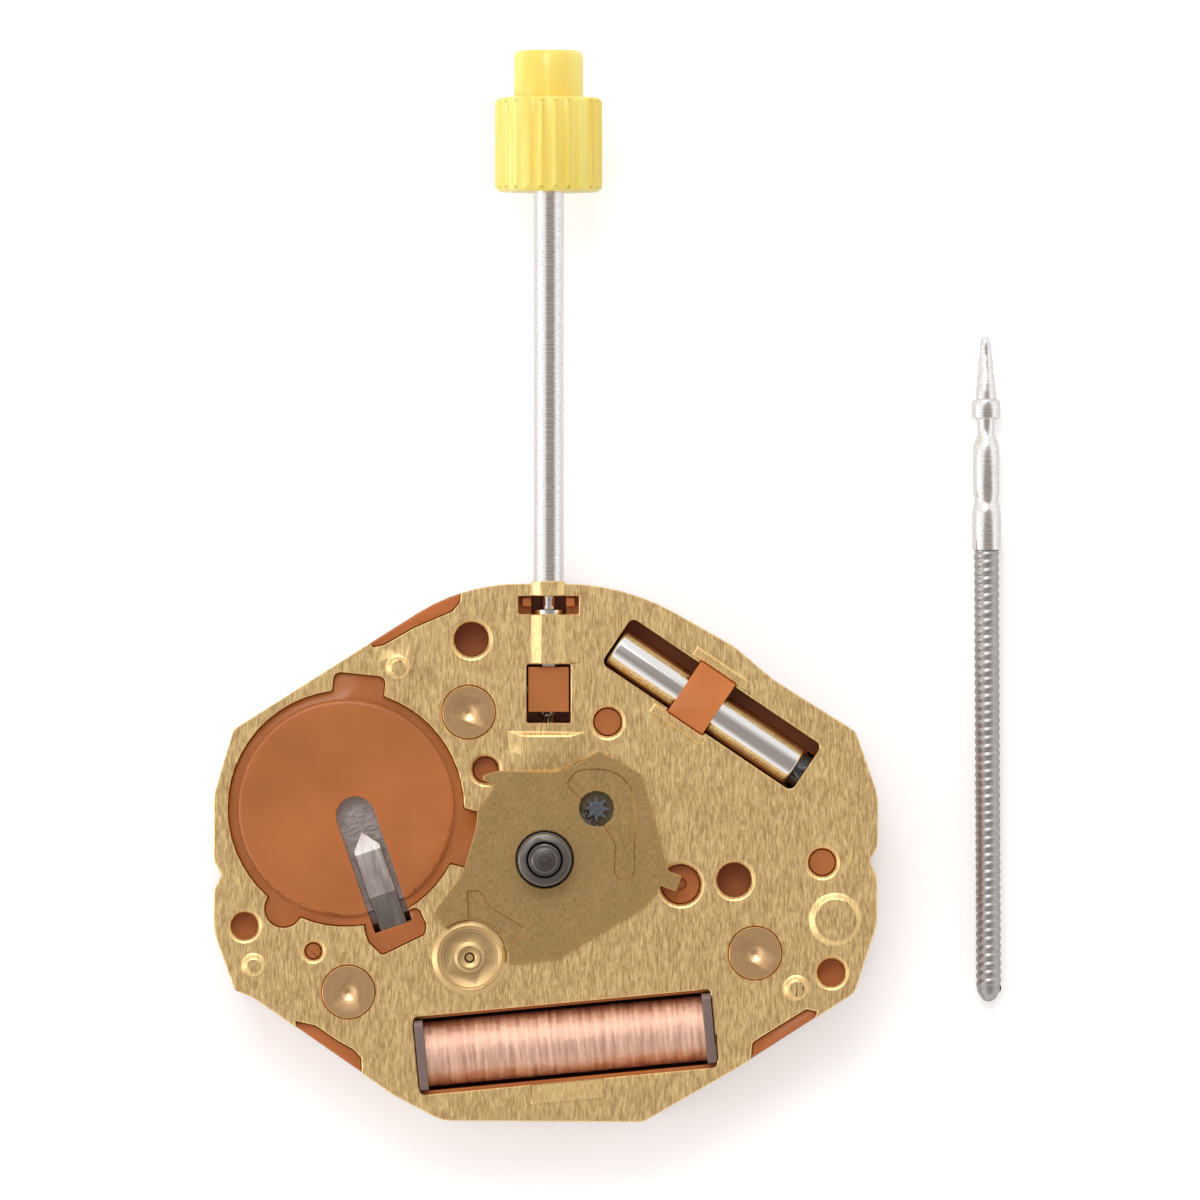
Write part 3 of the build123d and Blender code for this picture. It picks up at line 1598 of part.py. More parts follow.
# Sliding pinion on the stem's square, inside the plastic clutch slider
sliding_module = 0.045
sliding_teeth = 14
sliding_distance = 0.046
sliding_length = 0.86
sliding_groove_distance = 0.38
sliding_groove_width = 0.20
sliding_inner_end = clutch_inner_end + sliding_distance
sliding_outer_end = sliding_inner_end + sliding_length
sliding_groove_low = sliding_inner_end + sliding_groove_distance
sliding_groove_high = sliding_groove_low + sliding_groove_width
sliding_plane = Plane(
    (stem_across, sliding_inner_end, stem_level), x_dir=(1, 0, 0), z_dir=(0, 1, 0)
)
sliding_root_radius = (
    pitch_radius(sliding_teeth, sliding_module) - root_depth_share * sliding_module
)
with BuildPart() as sliding_pinion:
    with BuildSketch(sliding_plane):
        add(gear(sliding_teeth, sliding_module, 90))
    extrude(amount=sliding_outer_end - sliding_inner_end)
    with BuildSketch(sliding_plane.offset(sliding_groove_low - sliding_inner_end)):
        Circle(clutch_half_width)
        Circle(sliding_root_radius, mode=Mode.SUBTRACT)
    extrude(amount=sliding_groove_high - sliding_groove_low, mode=Mode.SUBTRACT)
    with BuildSketch(sliding_plane):
        Rectangle(stem_square + running_clearance, stem_square + running_clearance)
    extrude(amount=sliding_outer_end - sliding_inner_end, mode=Mode.SUBTRACT)
sliding_pinion.part.label = "sliding_pinion"
export_step(sliding_pinion.part, "parts/sliding_pinion.step")

clutch_sink = 0.07
clutch_top = plate_top - clutch_sink
clutch_wall = 0.08
clutch_bottom = clutch_floor + seat_clearance
clutch_rib_half = 0.20
clutch_middle = (stem_across, (clutch_inner_end + clutch_outer_end) / 2)
with BuildPart() as clutch_slider:
    block(
        clutch_middle,
        2 * clutch_half_width,
        clutch_outer_end - clutch_inner_end,
        clutch_bottom,
        clutch_top,
    )
    block(
        (clutch_middle[0], clutch_middle[1] - clutch_wall),
        2 * (clutch_half_width - clutch_wall),
        clutch_outer_end - clutch_inner_end,
        clutch_bottom,
        clutch_top - clutch_wall,
        mode=Mode.SUBTRACT,
    )
    block(
        (stem_across, (sliding_groove_low + sliding_groove_high) / 2),
        2 * clutch_rib_half,
        sliding_groove_high - sliding_groove_low - 2 * running_clearance,
        stem_level + sliding_root_radius + running_clearance,
        clutch_top - clutch_wall / 2,
    )
    block(
        (stem_across, clutch_outer_end),
        stem_square * 1.5,
        4 * clutch_wall,
        clutch_bottom,
        stem_level + stem_square * 0.75,
        mode=Mode.SUBTRACT,
    )
    block(
        (yoke_nose[0], yoke_nose[1]),
        4 * clutch_wall,
        2 * yoke_nose_radius + 2 * seat_clearance,
        clutch_bottom,
        lever_high + seat_clearance,
        mode=Mode.SUBTRACT,
    )
clutch_slider.part.label = "clutch_slider"
export_step(clutch_slider.part, "parts/clutch_slider.step")

# Setting lever in the stem's groove, and the yoke that shifts the clutch
for name, pivot, nose, nose_radius in (
    ("setting_lever", setting_pivot, setting_nose, lever_nose_radius),
    ("yoke", yoke_pivot, yoke_nose, yoke_nose_radius),
):
    with BuildPart() as lever:
        with BuildSketch(Plane.XY.offset(lever_low)):
            with Locations(pivot):
                Circle(lever_hub_radius)
            strip(pivot, nose, 2 * nose_radius - running_clearance)
            with Locations(nose):
                Circle(nose_radius)
        extrude(amount=lever_thickness)
        post(pivot, lever_hub_radius, lever_hub_low, lever_low)
        post(
            pivot,
            lever_post_radius + running_clearance,
            lever_hub_low,
            lever_high,
            Mode.SUBTRACT,
        )
    lever.part.label = name
    export_step(lever.part, f"parts/{name}.step")

# Loose threaded stem, lying beside the movement on the same surface
loose_place_shares = (0.668, 0.975)
loose_turn = 0.28
loose_top = place(loose_place_shares)
# Stations from the pilot tip to the pointed end: place along the stem as a share of its length,
# radius as a share of the collar's
loose_profile_shares = [
    (0.0, 0.0),
    (0.003, 0.25),
    (0.023, 0.39),
    (0.035, 0.46),
    (0.056, 0.48),
    (0.097, 0.61),
    (0.099, 0.88),
    (0.125, 0.86),
    (0.127, 0.52),
    (0.155, 0.54),
    (0.168, 0.82),
    (0.241, 0.84),
    (0.244, 0.75),
    (0.254, 0.77),
    (0.271, 0.99),
    (0.321, 1.0),
]
loose_point_share = 0.5
with BuildPart() as loose_stem:
    with BuildSketch(Plane.XY):
        with BuildLine():
            thread_start = loose_length * loose_profile_shares[-1][0]
            thread_end = thread_start + loose_thread_length
            Polyline(
                *[
                    (share * loose_collar_radius, -along * loose_length)
                    for along, share in loose_profile_shares
                ],
                (loose_thread_radius, -thread_start),
                (loose_thread_radius, -thread_end),
                (loose_point_share * loose_thread_radius, -loose_length + seat_clearance),
                (0, -loose_length),
                close=True,
            )
        make_face()
    revolve(axis=Axis.Y)
loose_part = loose_stem.part.moved(
    Location((*loose_top, rest_level + loose_collar_radius), (0, 0, loose_turn))
)
loose_part.label = "loose_stem"
export_step(loose_part, "parts/loose_stem.step")
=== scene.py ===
"""Looks of a quartz watch movement: finishes, wound coil, threaded stem and the stage."""

import json
from math import pi, radians, sin

import bpy
from bpy.props import FloatProperty, FloatVectorProperty, IntProperty, PointerProperty
from bpy.types import Operator, Panel, PropertyGroup
from mathutils import Matrix, Vector

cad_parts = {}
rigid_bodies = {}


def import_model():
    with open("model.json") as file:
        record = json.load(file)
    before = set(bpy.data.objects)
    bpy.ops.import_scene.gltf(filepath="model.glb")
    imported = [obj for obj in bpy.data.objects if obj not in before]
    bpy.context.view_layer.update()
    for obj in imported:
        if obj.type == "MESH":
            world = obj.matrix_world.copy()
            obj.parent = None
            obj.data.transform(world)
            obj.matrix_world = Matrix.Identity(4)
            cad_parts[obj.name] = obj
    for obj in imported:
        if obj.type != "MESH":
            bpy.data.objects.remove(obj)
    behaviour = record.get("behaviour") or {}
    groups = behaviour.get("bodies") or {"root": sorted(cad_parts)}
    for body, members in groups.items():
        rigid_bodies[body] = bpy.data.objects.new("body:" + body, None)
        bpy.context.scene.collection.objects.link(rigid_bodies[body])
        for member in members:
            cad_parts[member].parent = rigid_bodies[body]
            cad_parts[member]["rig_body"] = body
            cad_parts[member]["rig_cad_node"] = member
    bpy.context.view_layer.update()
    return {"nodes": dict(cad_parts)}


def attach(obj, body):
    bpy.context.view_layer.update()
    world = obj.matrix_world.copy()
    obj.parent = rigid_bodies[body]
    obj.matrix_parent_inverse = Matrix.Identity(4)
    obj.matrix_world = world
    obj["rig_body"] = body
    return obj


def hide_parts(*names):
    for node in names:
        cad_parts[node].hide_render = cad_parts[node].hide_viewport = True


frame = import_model()

bl_info = {
    "name": "Quartz watch movement",
    "version": (1, 0, 0),
    "blender": (4, 5, 0),
    "location": "3D view > Sidebar > Movement",
    "description": "Finishes the pieces of a slim quartz watch movement and lights them",
    "category": "Object",
}

MM = 0.001
PER_METRE = 1 / MM

# Places in the CAD's frame, and turns in degrees
HAND_AXIS = Vector((0, 0, 0))
ROTOR_AXIS = Vector((-1.7193, -2.25, 0)) * MM
PILLARS = [
    Vector((-4.4992, -3.0406, 0)) * MM,
    Vector((4.8199, -2.1504, 0)) * MM,
    Vector((-1.7404, 3.3698, 0)) * MM,
]
COIL_CENTRE = Vector((0.4697, -4.1897, -0.905)) * MM
COIL_TILT = 5.4
CRYSTAL_TILT = -34.0
CONTACT_TILT = 18.9
LOOSE_TOP = Vector((10.1536, 12.0218, -2.17)) * MM
LOOSE_TURN = 0.28
STRAP_LIGHT_LEVEL = -0.13 * MM
COVER_SHADE_LEVEL = -2.285 * MM
TRAY_LEVEL = -1.92 * MM
FLOOR_LEVEL = -2.5 * MM - 1e-6

# Oblongs of painted shade on a surface, which are also made rougher: centre, turn and size
RAISED_FIELD_SHADE = (Vector((0.0, 2.62, 0)) * MM, 0.0, (0.944 * MM, 0.343 * MM))
TAB_RECESS_SHADE = (Vector((0.524, -5.324, 0)) * MM, COIL_TILT, (1.68 * MM, 0.46 * MM))
CONTACT_FOOT_SHADE = (Vector((-3.47, -1.78, 0)) * MM, CONTACT_TILT, (2.0 * MM, 2.0 * MM))

# Sizes of small details
WIRE_CREST = 0.006 * MM
WINDING_WAVER = 0.02 * MM
WINDING_CLOUDS = 0.22 * MM
TRAY_MARGIN = (0.42 * MM, 0.27 * MM)
TRAY_RIM = 0.16 * MM
TRAY_DEPTH = 0.03 * MM
TRAY_WALL = 0.04 * MM
TRAY_EDGE = 0.008 * MM
LOOSE_LENGTH = 15.35 * MM
LOOSE_COLLAR = 0.33 * MM
THREAD_LEAD_IN = 0.02 * MM
THREAD_SINK = 0.004 * MM
THREAD_REACH = 1.0 * MM

# Loose stem above its thread: shares of its length, and of the collar's radius
LOOSE_PROFILE = [
    (0.0, 0.02),
    (0.001, 0.20),
    (0.004, 0.31),
    (0.010, 0.37),
    (0.022, 0.41),
    (0.034, 0.46),
    (0.038, 0.52),
    (0.056, 0.52),
    (0.060, 0.60),
    (0.094, 0.72),
    (0.097, 0.95),
    (0.101, 1.0),
    (0.119, 1.0),
    (0.123, 0.95),
    (0.125, 0.62),
    (0.130, 0.58),
    (0.148, 0.58),
    (0.152, 0.66),
    (0.162, 0.86),
    (0.166, 0.92),
    (0.236, 0.92),
    (0.240, 0.86),
    (0.250, 0.80),
    (0.256, 0.92),
    (0.266, 1.0),
    (0.318, 1.0),
    (0.321, 0.97),
]
# Its tip: shares of the thread's root radius, and heights over the end
LOOSE_TIP = [(1.0, 0.26 * MM), (0.6, 0.08 * MM), (0.3, 0.02 * MM), (0.0, 0.005 * MM)]

# Steps and limits of the mesh work: lengths, counts, and angles in degrees
CELL = 1.0 * MM
NODE_WELD = 2e-7
SKIN_WELD = 1e-7
WIRE_SIDES = 64
SHANK_STEPS = 40
THREAD_STEPS = 36
THREAD_ARC_STEPS = 8
FLAT_ANGLE = 0.4
WORN_ANGLE = 32.0
SMOOTH_ANGLE = 28.0
PLATE_SMOOTH_ANGLE = 12.0
CRYSTAL_SMOOTH_ANGLE = 50.0
SHANK_SMOOTH_ANGLE = 35.0
THREAD_SMOOTH_ANGLE = 60.0

# Finishes: where a pattern's tones and its roughness begin and end, and what plastics share
TONE_STOPS = (0.35, 0.65)
ROUGHNESS_STOPS = (0.3, 0.7)
STIPPLE_DEPTH = 1.2e-6
PLASTIC_REACH = (1.0, 0.35, 0.10)
PLASTIC_IOR = 1.5

# Tones of the finishes that the panel leaves alone
BEARING_BRASS = (0.68, 0.465, 0.222)
GILT_BRASS = (0.70, 0.50, 0.22)
# Painted shade: the brass of the wheels under the cover is darkened, as they lie in shade
WHEEL_BRASS_IN_SHADE = (0.22, 0.17, 0.10)
NICKEL = (0.70, 0.65, 0.61)
CELL_STEEL = (0.54, 0.49, 0.47)
COVER_STEEL = (0.56, 0.55, 0.52)
SCREW_STEEL = (0.66, 0.66, 0.67)
PINION_STEEL = (0.42, 0.42, 0.44)
DARK_STEEL = (0.14, 0.125, 0.125)
GREY_STEEL = (0.20, 0.18, 0.165)
BLUE_STEEL = (0.17, 0.19, 0.22)
# Painted shade: the iron of the core and stator is darkened to a shaded brown
IRON_IN_SHADE = (0.085, 0.05, 0.04)
MAGNET = (0.10, 0.10, 0.11)
FLANGE_BROWN = (0.19, 0.13, 0.115)
# Painted shade: the dark sheet under the coil stands for the shade in its window
SHADE_SHEET_BROWN = (0.11, 0.045, 0.03)
SEAL_GLASS = (0.03, 0.03, 0.035)
RESIN = (0.012, 0.012, 0.013)
BOARD_GREEN = (0.03, 0.12, 0.06)
PALE_PLASTIC = (0.50, 0.40, 0.26)
DARK_PLASTIC = (0.05, 0.05, 0.055)
# Yellows of the knob's streaks: flow lines of the moulding, and also painted highlights
KNOB_FLOW_AND_HIGHLIGHTS = ((0.94, 0.64, 0.09), (0.96, 0.83, 0.23))

# Stage: lengths in metres, and each lamp's name, place, size and power
FLOOR_SIZE = 1.2
FLOOR_TONE = (0.90, 0.90, 0.90)
FLOOR_GLOW = 0.35
SKY_AXIS = Vector((0.22, -0.25, 0.93))
SKY_STOPS = (0.62, 0.93)
SKY_TONES = ((1.0, 1.0, 1.0), (0.36, 0.32, 0.30))
LAMPS = (
    ("key_light", (-0.03, 0.17, 0.22), 0.14, 0.20),
    ("side_light", (-0.22, -0.02, 0.08), 0.12, 0.10),
)
VIEW_CENTRE = (1.268 * MM, 5.938 * MM)
VIEW_WIDTH = 27.47 * MM
LENS = 400.0
SENSOR = 36.0


class MovementSizes(PropertyGroup):
    edge: FloatProperty(
        name="Edge",
        description="Width of the worn edge of the main plate",
        default=0.024 * MM,
        subtype="DISTANCE",
    )
    frame_edge: FloatProperty(
        name="Frame edge",
        description="Width of the rounded edge of the module frame",
        default=0.016 * MM,
        subtype="DISTANCE",
    )
    cover_edge: FloatProperty(
        name="Cover edge",
        description="Width of the worn edge of the motion work cover",
        default=0.020 * MM,
        subtype="DISTANCE",
    )
    fine_edge: FloatProperty(
        name="Fine edge",
        description="Width of the worn edge of the small pieces",
        default=0.012 * MM,
        subtype="DISTANCE",
    )
    coil_radius: FloatProperty(
        name="Coil radius",
        description="Outside radius of the wound wire",
        default=0.755 * MM,
        subtype="DISTANCE",
    )
    coil_length: FloatProperty(
        name="Coil length",
        description="Length of the winding between its flanges",
        default=6.42 * MM,
        subtype="DISTANCE",
    )
    coil_turns: IntProperty(
        name="Coil turns",
        description="Turns of wire that show along the coil",
        default=132,
    )
    thread_pitch: FloatProperty(
        name="Thread pitch",
        description="Pitch of the loose stem's thread",
        default=0.193 * MM,
        subtype="DISTANCE",
    )
    thread_radius: FloatProperty(
        name="Thread radius",
        description="Radius of the thread's crests",
        default=0.29 * MM,
        subtype="DISTANCE",
    )
    thread_depth: FloatProperty(
        name="Thread depth",
        description="Depth of the thread",
        default=0.026 * MM,
        subtype="DISTANCE",
    )


class MovementColours(PropertyGroup):
    brass: FloatVectorProperty(
        name="Brass",
        description="Brushed brass of the main plate",
        default=(1.0, 0.635, 0.294),
        subtype="COLOR",
        size=3,
    )
    olive: FloatVectorProperty(
        name="Olive brass",
        description="Satin brass of the motion work cover",
        default=(0.52, 0.345, 0.145),
        subtype="COLOR",
        size=3,
    )
    rosy: FloatVectorProperty(
        name="Rosy brass",
        description="Turned brass of the pillar heads",
        default=(0.86, 0.55, 0.28),
        subtype="COLOR",
        size=3,
    )
    amber: FloatVectorProperty(
        name="Amber plastic",
        description="Moulded plastic of the module frame",
        default=(0.46, 0.145, 0.036),
        subtype="COLOR",
        size=3,
    )
    copper: FloatVectorProperty(
        name="Copper",
        description="Enamelled copper wire of the coil",
        default=(1.0, 0.56, 0.42),
        subtype="COLOR",
        size=3,
    )
    steel: FloatVectorProperty(
        name="Steel",
        description="Polished steel of the stems and the crystal",
        default=(0.88, 0.85, 0.83),
        subtype="COLOR",
        size=3,
    )
    yellow: FloatVectorProperty(
        name="Yellow plastic",
        description="Translucent plastic of the knob",
        default=(0.97, 0.76, 0.14),
        subtype="COLOR",
        size=3,
    )


# Small steps in a node tree


def feed(tree, value, socket):
    """Links a socket to an input, or writes a plain value there."""
    if isinstance(value, bpy.types.NodeSocket):
        tree.links.new(value, socket)
    else:
        socket.default_value = value


def calculate(tree, operation, *values):
    """Result of a math node on sockets or numbers."""
    node = tree.nodes.new("ShaderNodeMath")
    node.operation = operation
    for value, socket in zip(values, node.inputs):
        feed(tree, value, socket)
    return node.outputs[0]


def combine(tree, operation, *values):
    """Node that works on vectors, each a socket or a plain vector."""
    node = tree.nodes.new("ShaderNodeVectorMath")
    node.operation = operation
    for value, socket in zip(values, node.inputs):
        feed(tree, value, socket)
    return node


def blend_values(tree, factor, first, second):
    """Value that goes from the first to the second with a factor."""
    node = tree.nodes.new("ShaderNodeMix")
    feed(tree, factor, node.inputs["Factor"])
    feed(tree, first, node.inputs["A"])
    feed(tree, second, node.inputs["B"])
    return node.outputs["Result"]


def noise(tree, vector, scale, detail):
    """Noise node on a vector."""
    node = tree.nodes.new("ShaderNodeTexNoise")
    node.inputs["Scale"].default_value = scale
    node.inputs["Detail"].default_value = detail
    tree.links.new(vector, node.inputs["Vector"])
    return node


def set_ramp(ramp, stops, tones):
    """Places and tones of the two stops of a colour ramp."""
    for element, stop, tone in zip(ramp.color_ramp.elements, stops, tones):
        element.position = stop
        element.color = (*tone, 1.0)


def switch_shaders(tree, factor, first, second, output):
    """Sends the first shader to the output, and the second where the factor is one."""
    mix = tree.nodes.new("ShaderNodeMixShader")
    tree.links.new(factor, mix.inputs["Fac"])
    tree.links.new(first.outputs[0], mix.inputs[1])
    tree.links.new(second.outputs[0], mix.inputs[2])
    tree.links.new(mix.outputs[0], tree.nodes[output].inputs["Surface"])


# Node groups that several finishes share


def new_group(name, inputs, outputs):
    """Empty node group with its sockets and its input and output nodes."""
    group = bpy.data.node_groups.new(name, "ShaderNodeTree")
    for label, kind, value in inputs:
        socket = group.interface.new_socket(label, in_out="INPUT", socket_type=kind)
        if value is not None:
            socket.default_value = value
    for label in outputs:
        group.interface.new_socket(label, in_out="OUTPUT", socket_type="NodeSocketFloat")
    return group, group.nodes.new("NodeGroupInput"), group.nodes.new("NodeGroupOutput")


def grain_group():
    """Brushed grain: streaks along Y of the given vector, and broad patches."""
    name = "Brushed grain"
    if name in bpy.data.node_groups:
        return bpy.data.node_groups[name]
    group, source, result = new_group(
        name,
        [
            ("Vector", "NodeSocketVector", None),
            ("Across", "NodeSocketFloat", 20000.0),
            ("Along", "NodeSocketFloat", 3500.0),
        ],
        ["Streaks", "Patches"],
    )
    stretch = group.nodes.new("ShaderNodeCombineXYZ")
    for label, socket in zip(("Across", "Along", "Along"), stretch.inputs):
        group.links.new(source.outputs[label], socket)
    scaled = combine(group, "MULTIPLY", source.outputs["Vector"], stretch.outputs[0]).outputs[0]
    streaks = noise(group, scaled, scale=1.0, detail=3.0)
    streaks.inputs["Roughness"].default_value = 0.6
    patches = noise(group, scaled, scale=0.09, detail=2.0)
    group.links.new(streaks.outputs["Fac"], result.inputs["Streaks"])
    group.links.new(patches.outputs["Fac"], result.inputs["Patches"])
    return group


def ring_group():
    """Turned rings round an upright axis, and the distance from it in millimetres."""
    name = "Turned rings"
    if name in bpy.data.node_groups:
        return bpy.data.node_groups[name]
    group, source, result = new_group(
        name,
        [
            ("Vector", "NodeSocketVector", None),
            ("Centre", "NodeSocketVector", None),
            ("Fineness", "NodeSocketFloat", 30.0),
        ],
        ["Rings", "Distance"],
    )
    away = combine(group, "SUBTRACT", source.outputs["Vector"], source.outputs["Centre"])
    flat = combine(group, "MULTIPLY", away.outputs[0], (PER_METRE, PER_METRE, 0.0))
    length = combine(group, "LENGTH", flat.outputs[0]).outputs["Value"]
    count = calculate(group, "MULTIPLY", length, source.outputs["Fineness"])
    rings = group.nodes.new("ShaderNodeTexNoise")
    rings.noise_dimensions = "1D"
    rings.inputs["Scale"].default_value = 1.0
    rings.inputs["Detail"].default_value = 2.0
    group.links.new(count, rings.inputs["W"])
    group.links.new(rings.outputs["Fac"], result.inputs["Rings"])
    group.links.new(length, result.inputs["Distance"])
    return group


def mould_group():
    """Faint stipple and clouding of moulded plastic."""
    name = "Moulded skin"
    if name in bpy.data.node_groups:
        return bpy.data.node_groups[name]
    group, source, result = new_group(
        name, [("Vector", "NodeSocketVector", None)], ["Stipple", "Cloud"]
    )
    stipple = noise(group, source.outputs["Vector"], scale=26000.0, detail=2.0)
    cloud = noise(group, source.outputs["Vector"], scale=420.0, detail=3.0)
    group.links.new(stipple.outputs["Fac"], result.inputs["Stipple"])
    group.links.new(cloud.outputs["Fac"], result.inputs["Cloud"])
    return group


# Finishes


def finish(name, colour, metallic, roughness):
    """New material with its shader set, and the nodes that every pattern starts from."""
    material = bpy.data.materials.new(name)
    material.use_nodes = True
    tree = material.node_tree
    shader = tree.nodes["Principled BSDF"]
    shader.inputs["Base Color"].default_value = (*colour, 1.0)
    shader.inputs["Metallic"].default_value = metallic
    shader.inputs["Roughness"].default_value = roughness
    material.diffuse_color = (*colour, 1.0)
    coords = tree.nodes.new("ShaderNodeTexCoord")
    mapping = tree.nodes.new("ShaderNodeMapping")
    tree.links.new(coords.outputs["Object"], mapping.inputs["Vector"])
    return material, tree, shader, mapping


def shade(tree, shader, factor, low, high, stops=TONE_STOPS):
    """Base colour that runs between two tones with a pattern."""
    ramp = tree.nodes.new("ShaderNodeValToRGB")
    set_ramp(ramp, stops, (low, high))
    tree.links.new(factor, ramp.inputs["Fac"])
    tree.links.new(ramp.outputs["Color"], shader.inputs["Base Color"])


def polish(tree, shader, factor, low, high):
    """Roughness that runs between two values with a pattern."""
    span = tree.nodes.new("ShaderNodeMapRange")
    span.inputs["From Min"].default_value = ROUGHNESS_STOPS[0]
    span.inputs["From Max"].default_value = ROUGHNESS_STOPS[1]
    span.inputs["To Min"].default_value = low
    span.inputs["To Max"].default_value = high
    tree.links.new(factor, span.inputs["Value"])
    tree.links.new(span.outputs["Result"], shader.inputs["Roughness"])


def emboss(tree, shader, factor, depth):
    """Bump from a pattern, with its depth in metres."""
    bump = tree.nodes.new("ShaderNodeBump")
    bump.inputs["Distance"].default_value = depth
    tree.links.new(factor, bump.inputs["Height"])
    tree.links.new(bump.outputs["Normal"], shader.inputs["Normal"])


def use_group(tree, group, mapping):
    """Places a shared group in a material, on the coordinates of its mapping."""
    node = tree.nodes.new("ShaderNodeGroup")
    node.node_tree = group
    tree.links.new(mapping.outputs["Vector"], node.inputs["Vector"])
    return node


def tint(colour, amount):
    """Colour made lighter or darker."""
    return tuple(min(1.0, part * amount) for part in colour)


def brushed(
    name,
    colour,
    across=20000.0,
    along=3500.0,
    roughness=(0.30, 0.48),
    contrast=0.22,
    depth=2.0e-6,
    angle=0.0,
    stops=TONE_STOPS,
    clouding=0.35,
):
    """Brushed metal, its grain along Y turned by an angle."""
    material, tree, shader, mapping = finish(name, colour, 1.0, roughness[0])
    mapping.inputs["Rotation"].default_value = (0, 0, radians(angle))
    grain = use_group(tree, grain_group(), mapping)
    grain.inputs["Across"].default_value = across
    grain.inputs["Along"].default_value = along
    streaks = calculate(tree, "MULTIPLY", grain.outputs["Streaks"], 1 - clouding)
    mixed = calculate(tree, "MULTIPLY_ADD", grain.outputs["Patches"], clouding, streaks)
    shade(tree, shader, mixed, tint(colour, 1 - contrast), tint(colour, 1 + contrast), stops)
    polish(tree, shader, grain.outputs["Streaks"], *roughness)
    emboss(tree, shader, grain.outputs["Streaks"], depth)
    return material


def turned(
    name, colour, centres, fineness=30.0, roughness=(0.20, 0.32), contrast=0.06, depth=0.4e-6
):
    """Metal turned on a lathe, its rings round the nearest of some centres."""
    material, tree, shader, mapping = finish(name, colour, 1.0, roughness[0])
    nearest = None
    rings = None
    for centre in centres:
        node = use_group(tree, ring_group(), mapping)
        node.inputs["Centre"].default_value = centre
        node.inputs["Fineness"].default_value = fineness
        if nearest is None:
            nearest = node.outputs["Distance"]
            rings = node.outputs["Rings"]
            continue
        distance = node.outputs["Distance"]
        closer = calculate(tree, "LESS_THAN", distance, nearest)
        rings = blend_values(tree, closer, rings, node.outputs["Rings"])
        nearest = calculate(tree, "MINIMUM", nearest, distance)
    shade(tree, shader, rings, tint(colour, 1 - contrast), tint(colour, 1 + contrast))
    polish(tree, shader, rings, *roughness)
    emboss(tree, shader, rings, depth)
    return material


def moulded(name, colour, glow, roughness=0.36, reach=0.5 * MM):
    """Moulded plastic that light enters a little way."""
    material, tree, shader, mapping = finish(name, colour, 0.0, roughness)
    skin = use_group(tree, mould_group(), mapping)
    shade(tree, shader, skin.outputs["Cloud"], tint(colour, 0.90), tint(colour, 1.12))
    emboss(tree, shader, skin.outputs["Stipple"], STIPPLE_DEPTH)
    shader.inputs["Subsurface Weight"].default_value = glow
    shader.inputs["Subsurface Radius"].default_value = PLASTIC_REACH
    shader.inputs["Subsurface Scale"].default_value = reach
    shader.inputs["IOR"].default_value = PLASTIC_IOR
    return material


def scale_colour(tree, shader, mask, amount):
    """Multiplies the base colour by an amount where a mask is one."""
    gain = tree.nodes.new("ShaderNodeMapRange")
    gain.inputs["To Min"].default_value = 1.0
    gain.inputs["To Max"].default_value = amount
    tree.links.new(mask, gain.inputs["Value"])
    scaled = tree.nodes.new("ShaderNodeVectorMath")
    scaled.operation = "SCALE"
    tree.links.new(shader.inputs["Base Color"].links[0].from_socket, scaled.inputs[0])
    tree.links.new(gain.outputs["Result"], scaled.inputs["Scale"])
    tree.links.new(scaled.outputs[0], shader.inputs["Base Color"])


def paint_light_above(material, level, amount):
    """Multiplies the colour of a material above a level of the object: painted light where the
    amount is above one, painted shade where it is below.
    """
    tree = material.node_tree
    height = tree.nodes.new("ShaderNodeSeparateXYZ")
    tree.links.new(tree.nodes["Mapping"].outputs["Vector"], height.inputs[0])
    above = calculate(tree, "GREATER_THAN", height.outputs["Z"], level)
    scale_colour(tree, tree.nodes["Principled BSDF"], above, amount)


def paint_shade_patch(material, centre, turn, size, tone, roughness):
    """Darkens an oblong of a material as painted shade, and makes it rougher."""
    tree = material.node_tree
    shader = tree.nodes["Principled BSDF"]
    place = tree.nodes.new("ShaderNodeMapping")
    place.vector_type = "TEXTURE"
    place.inputs["Location"].default_value = centre
    place.inputs["Rotation"].default_value = (0, 0, radians(turn))
    tree.links.new(tree.nodes["Texture Coordinate"].outputs["Object"], place.inputs["Vector"])
    parts = tree.nodes.new("ShaderNodeSeparateXYZ")
    tree.links.new(place.outputs["Vector"], parts.inputs[0])
    near = [
        calculate(tree, "LESS_THAN", calculate(tree, "ABSOLUTE", parts.outputs[axis]), span / 2)
        for axis, span in zip("XY", size)
    ]
    inside = calculate(tree, "MULTIPLY", *near)
    scale_colour(tree, shader, inside, tone)
    rough = shader.inputs["Roughness"]
    duller = blend_values(tree, inside, rough.links[0].from_socket, roughness)
    tree.links.new(duller, rough)


def streaked(
    name,
    colour,
    across,
    along,
    tones,
    roughness,
    metallic=1.0,
    depth=0.0,
    angle=0.0,
    pattern="Streaks",
):
    """Drawn or wound metal, whose streaks change its tone and its roughness."""
    material, tree, shader, mapping = finish(name, colour, metallic, roughness[0])
    mapping.inputs["Rotation"].default_value = (0, 0, radians(angle))
    grain = use_group(tree, grain_group(), mapping)
    grain.inputs["Across"].default_value = across
    grain.inputs["Along"].default_value = along
    shade(tree, shader, grain.outputs[pattern], *(tint(colour, tone) for tone in tones))
    polish(tree, shader, grain.outputs["Streaks"], *roughness)
    if depth:
        emboss(tree, shader, grain.outputs["Streaks"], depth)
    return material


def rod_finish(name, colour, roughness=(0.08, 0.2)):
    """Polished rod along Y with the fine rings of drawing and turning."""
    return streaked(
        name,
        colour,
        across=900.0,
        along=26000.0,
        tones=(0.88, 1.12),
        roughness=roughness,
        depth=0.4e-6,
    )


# Modelling steps


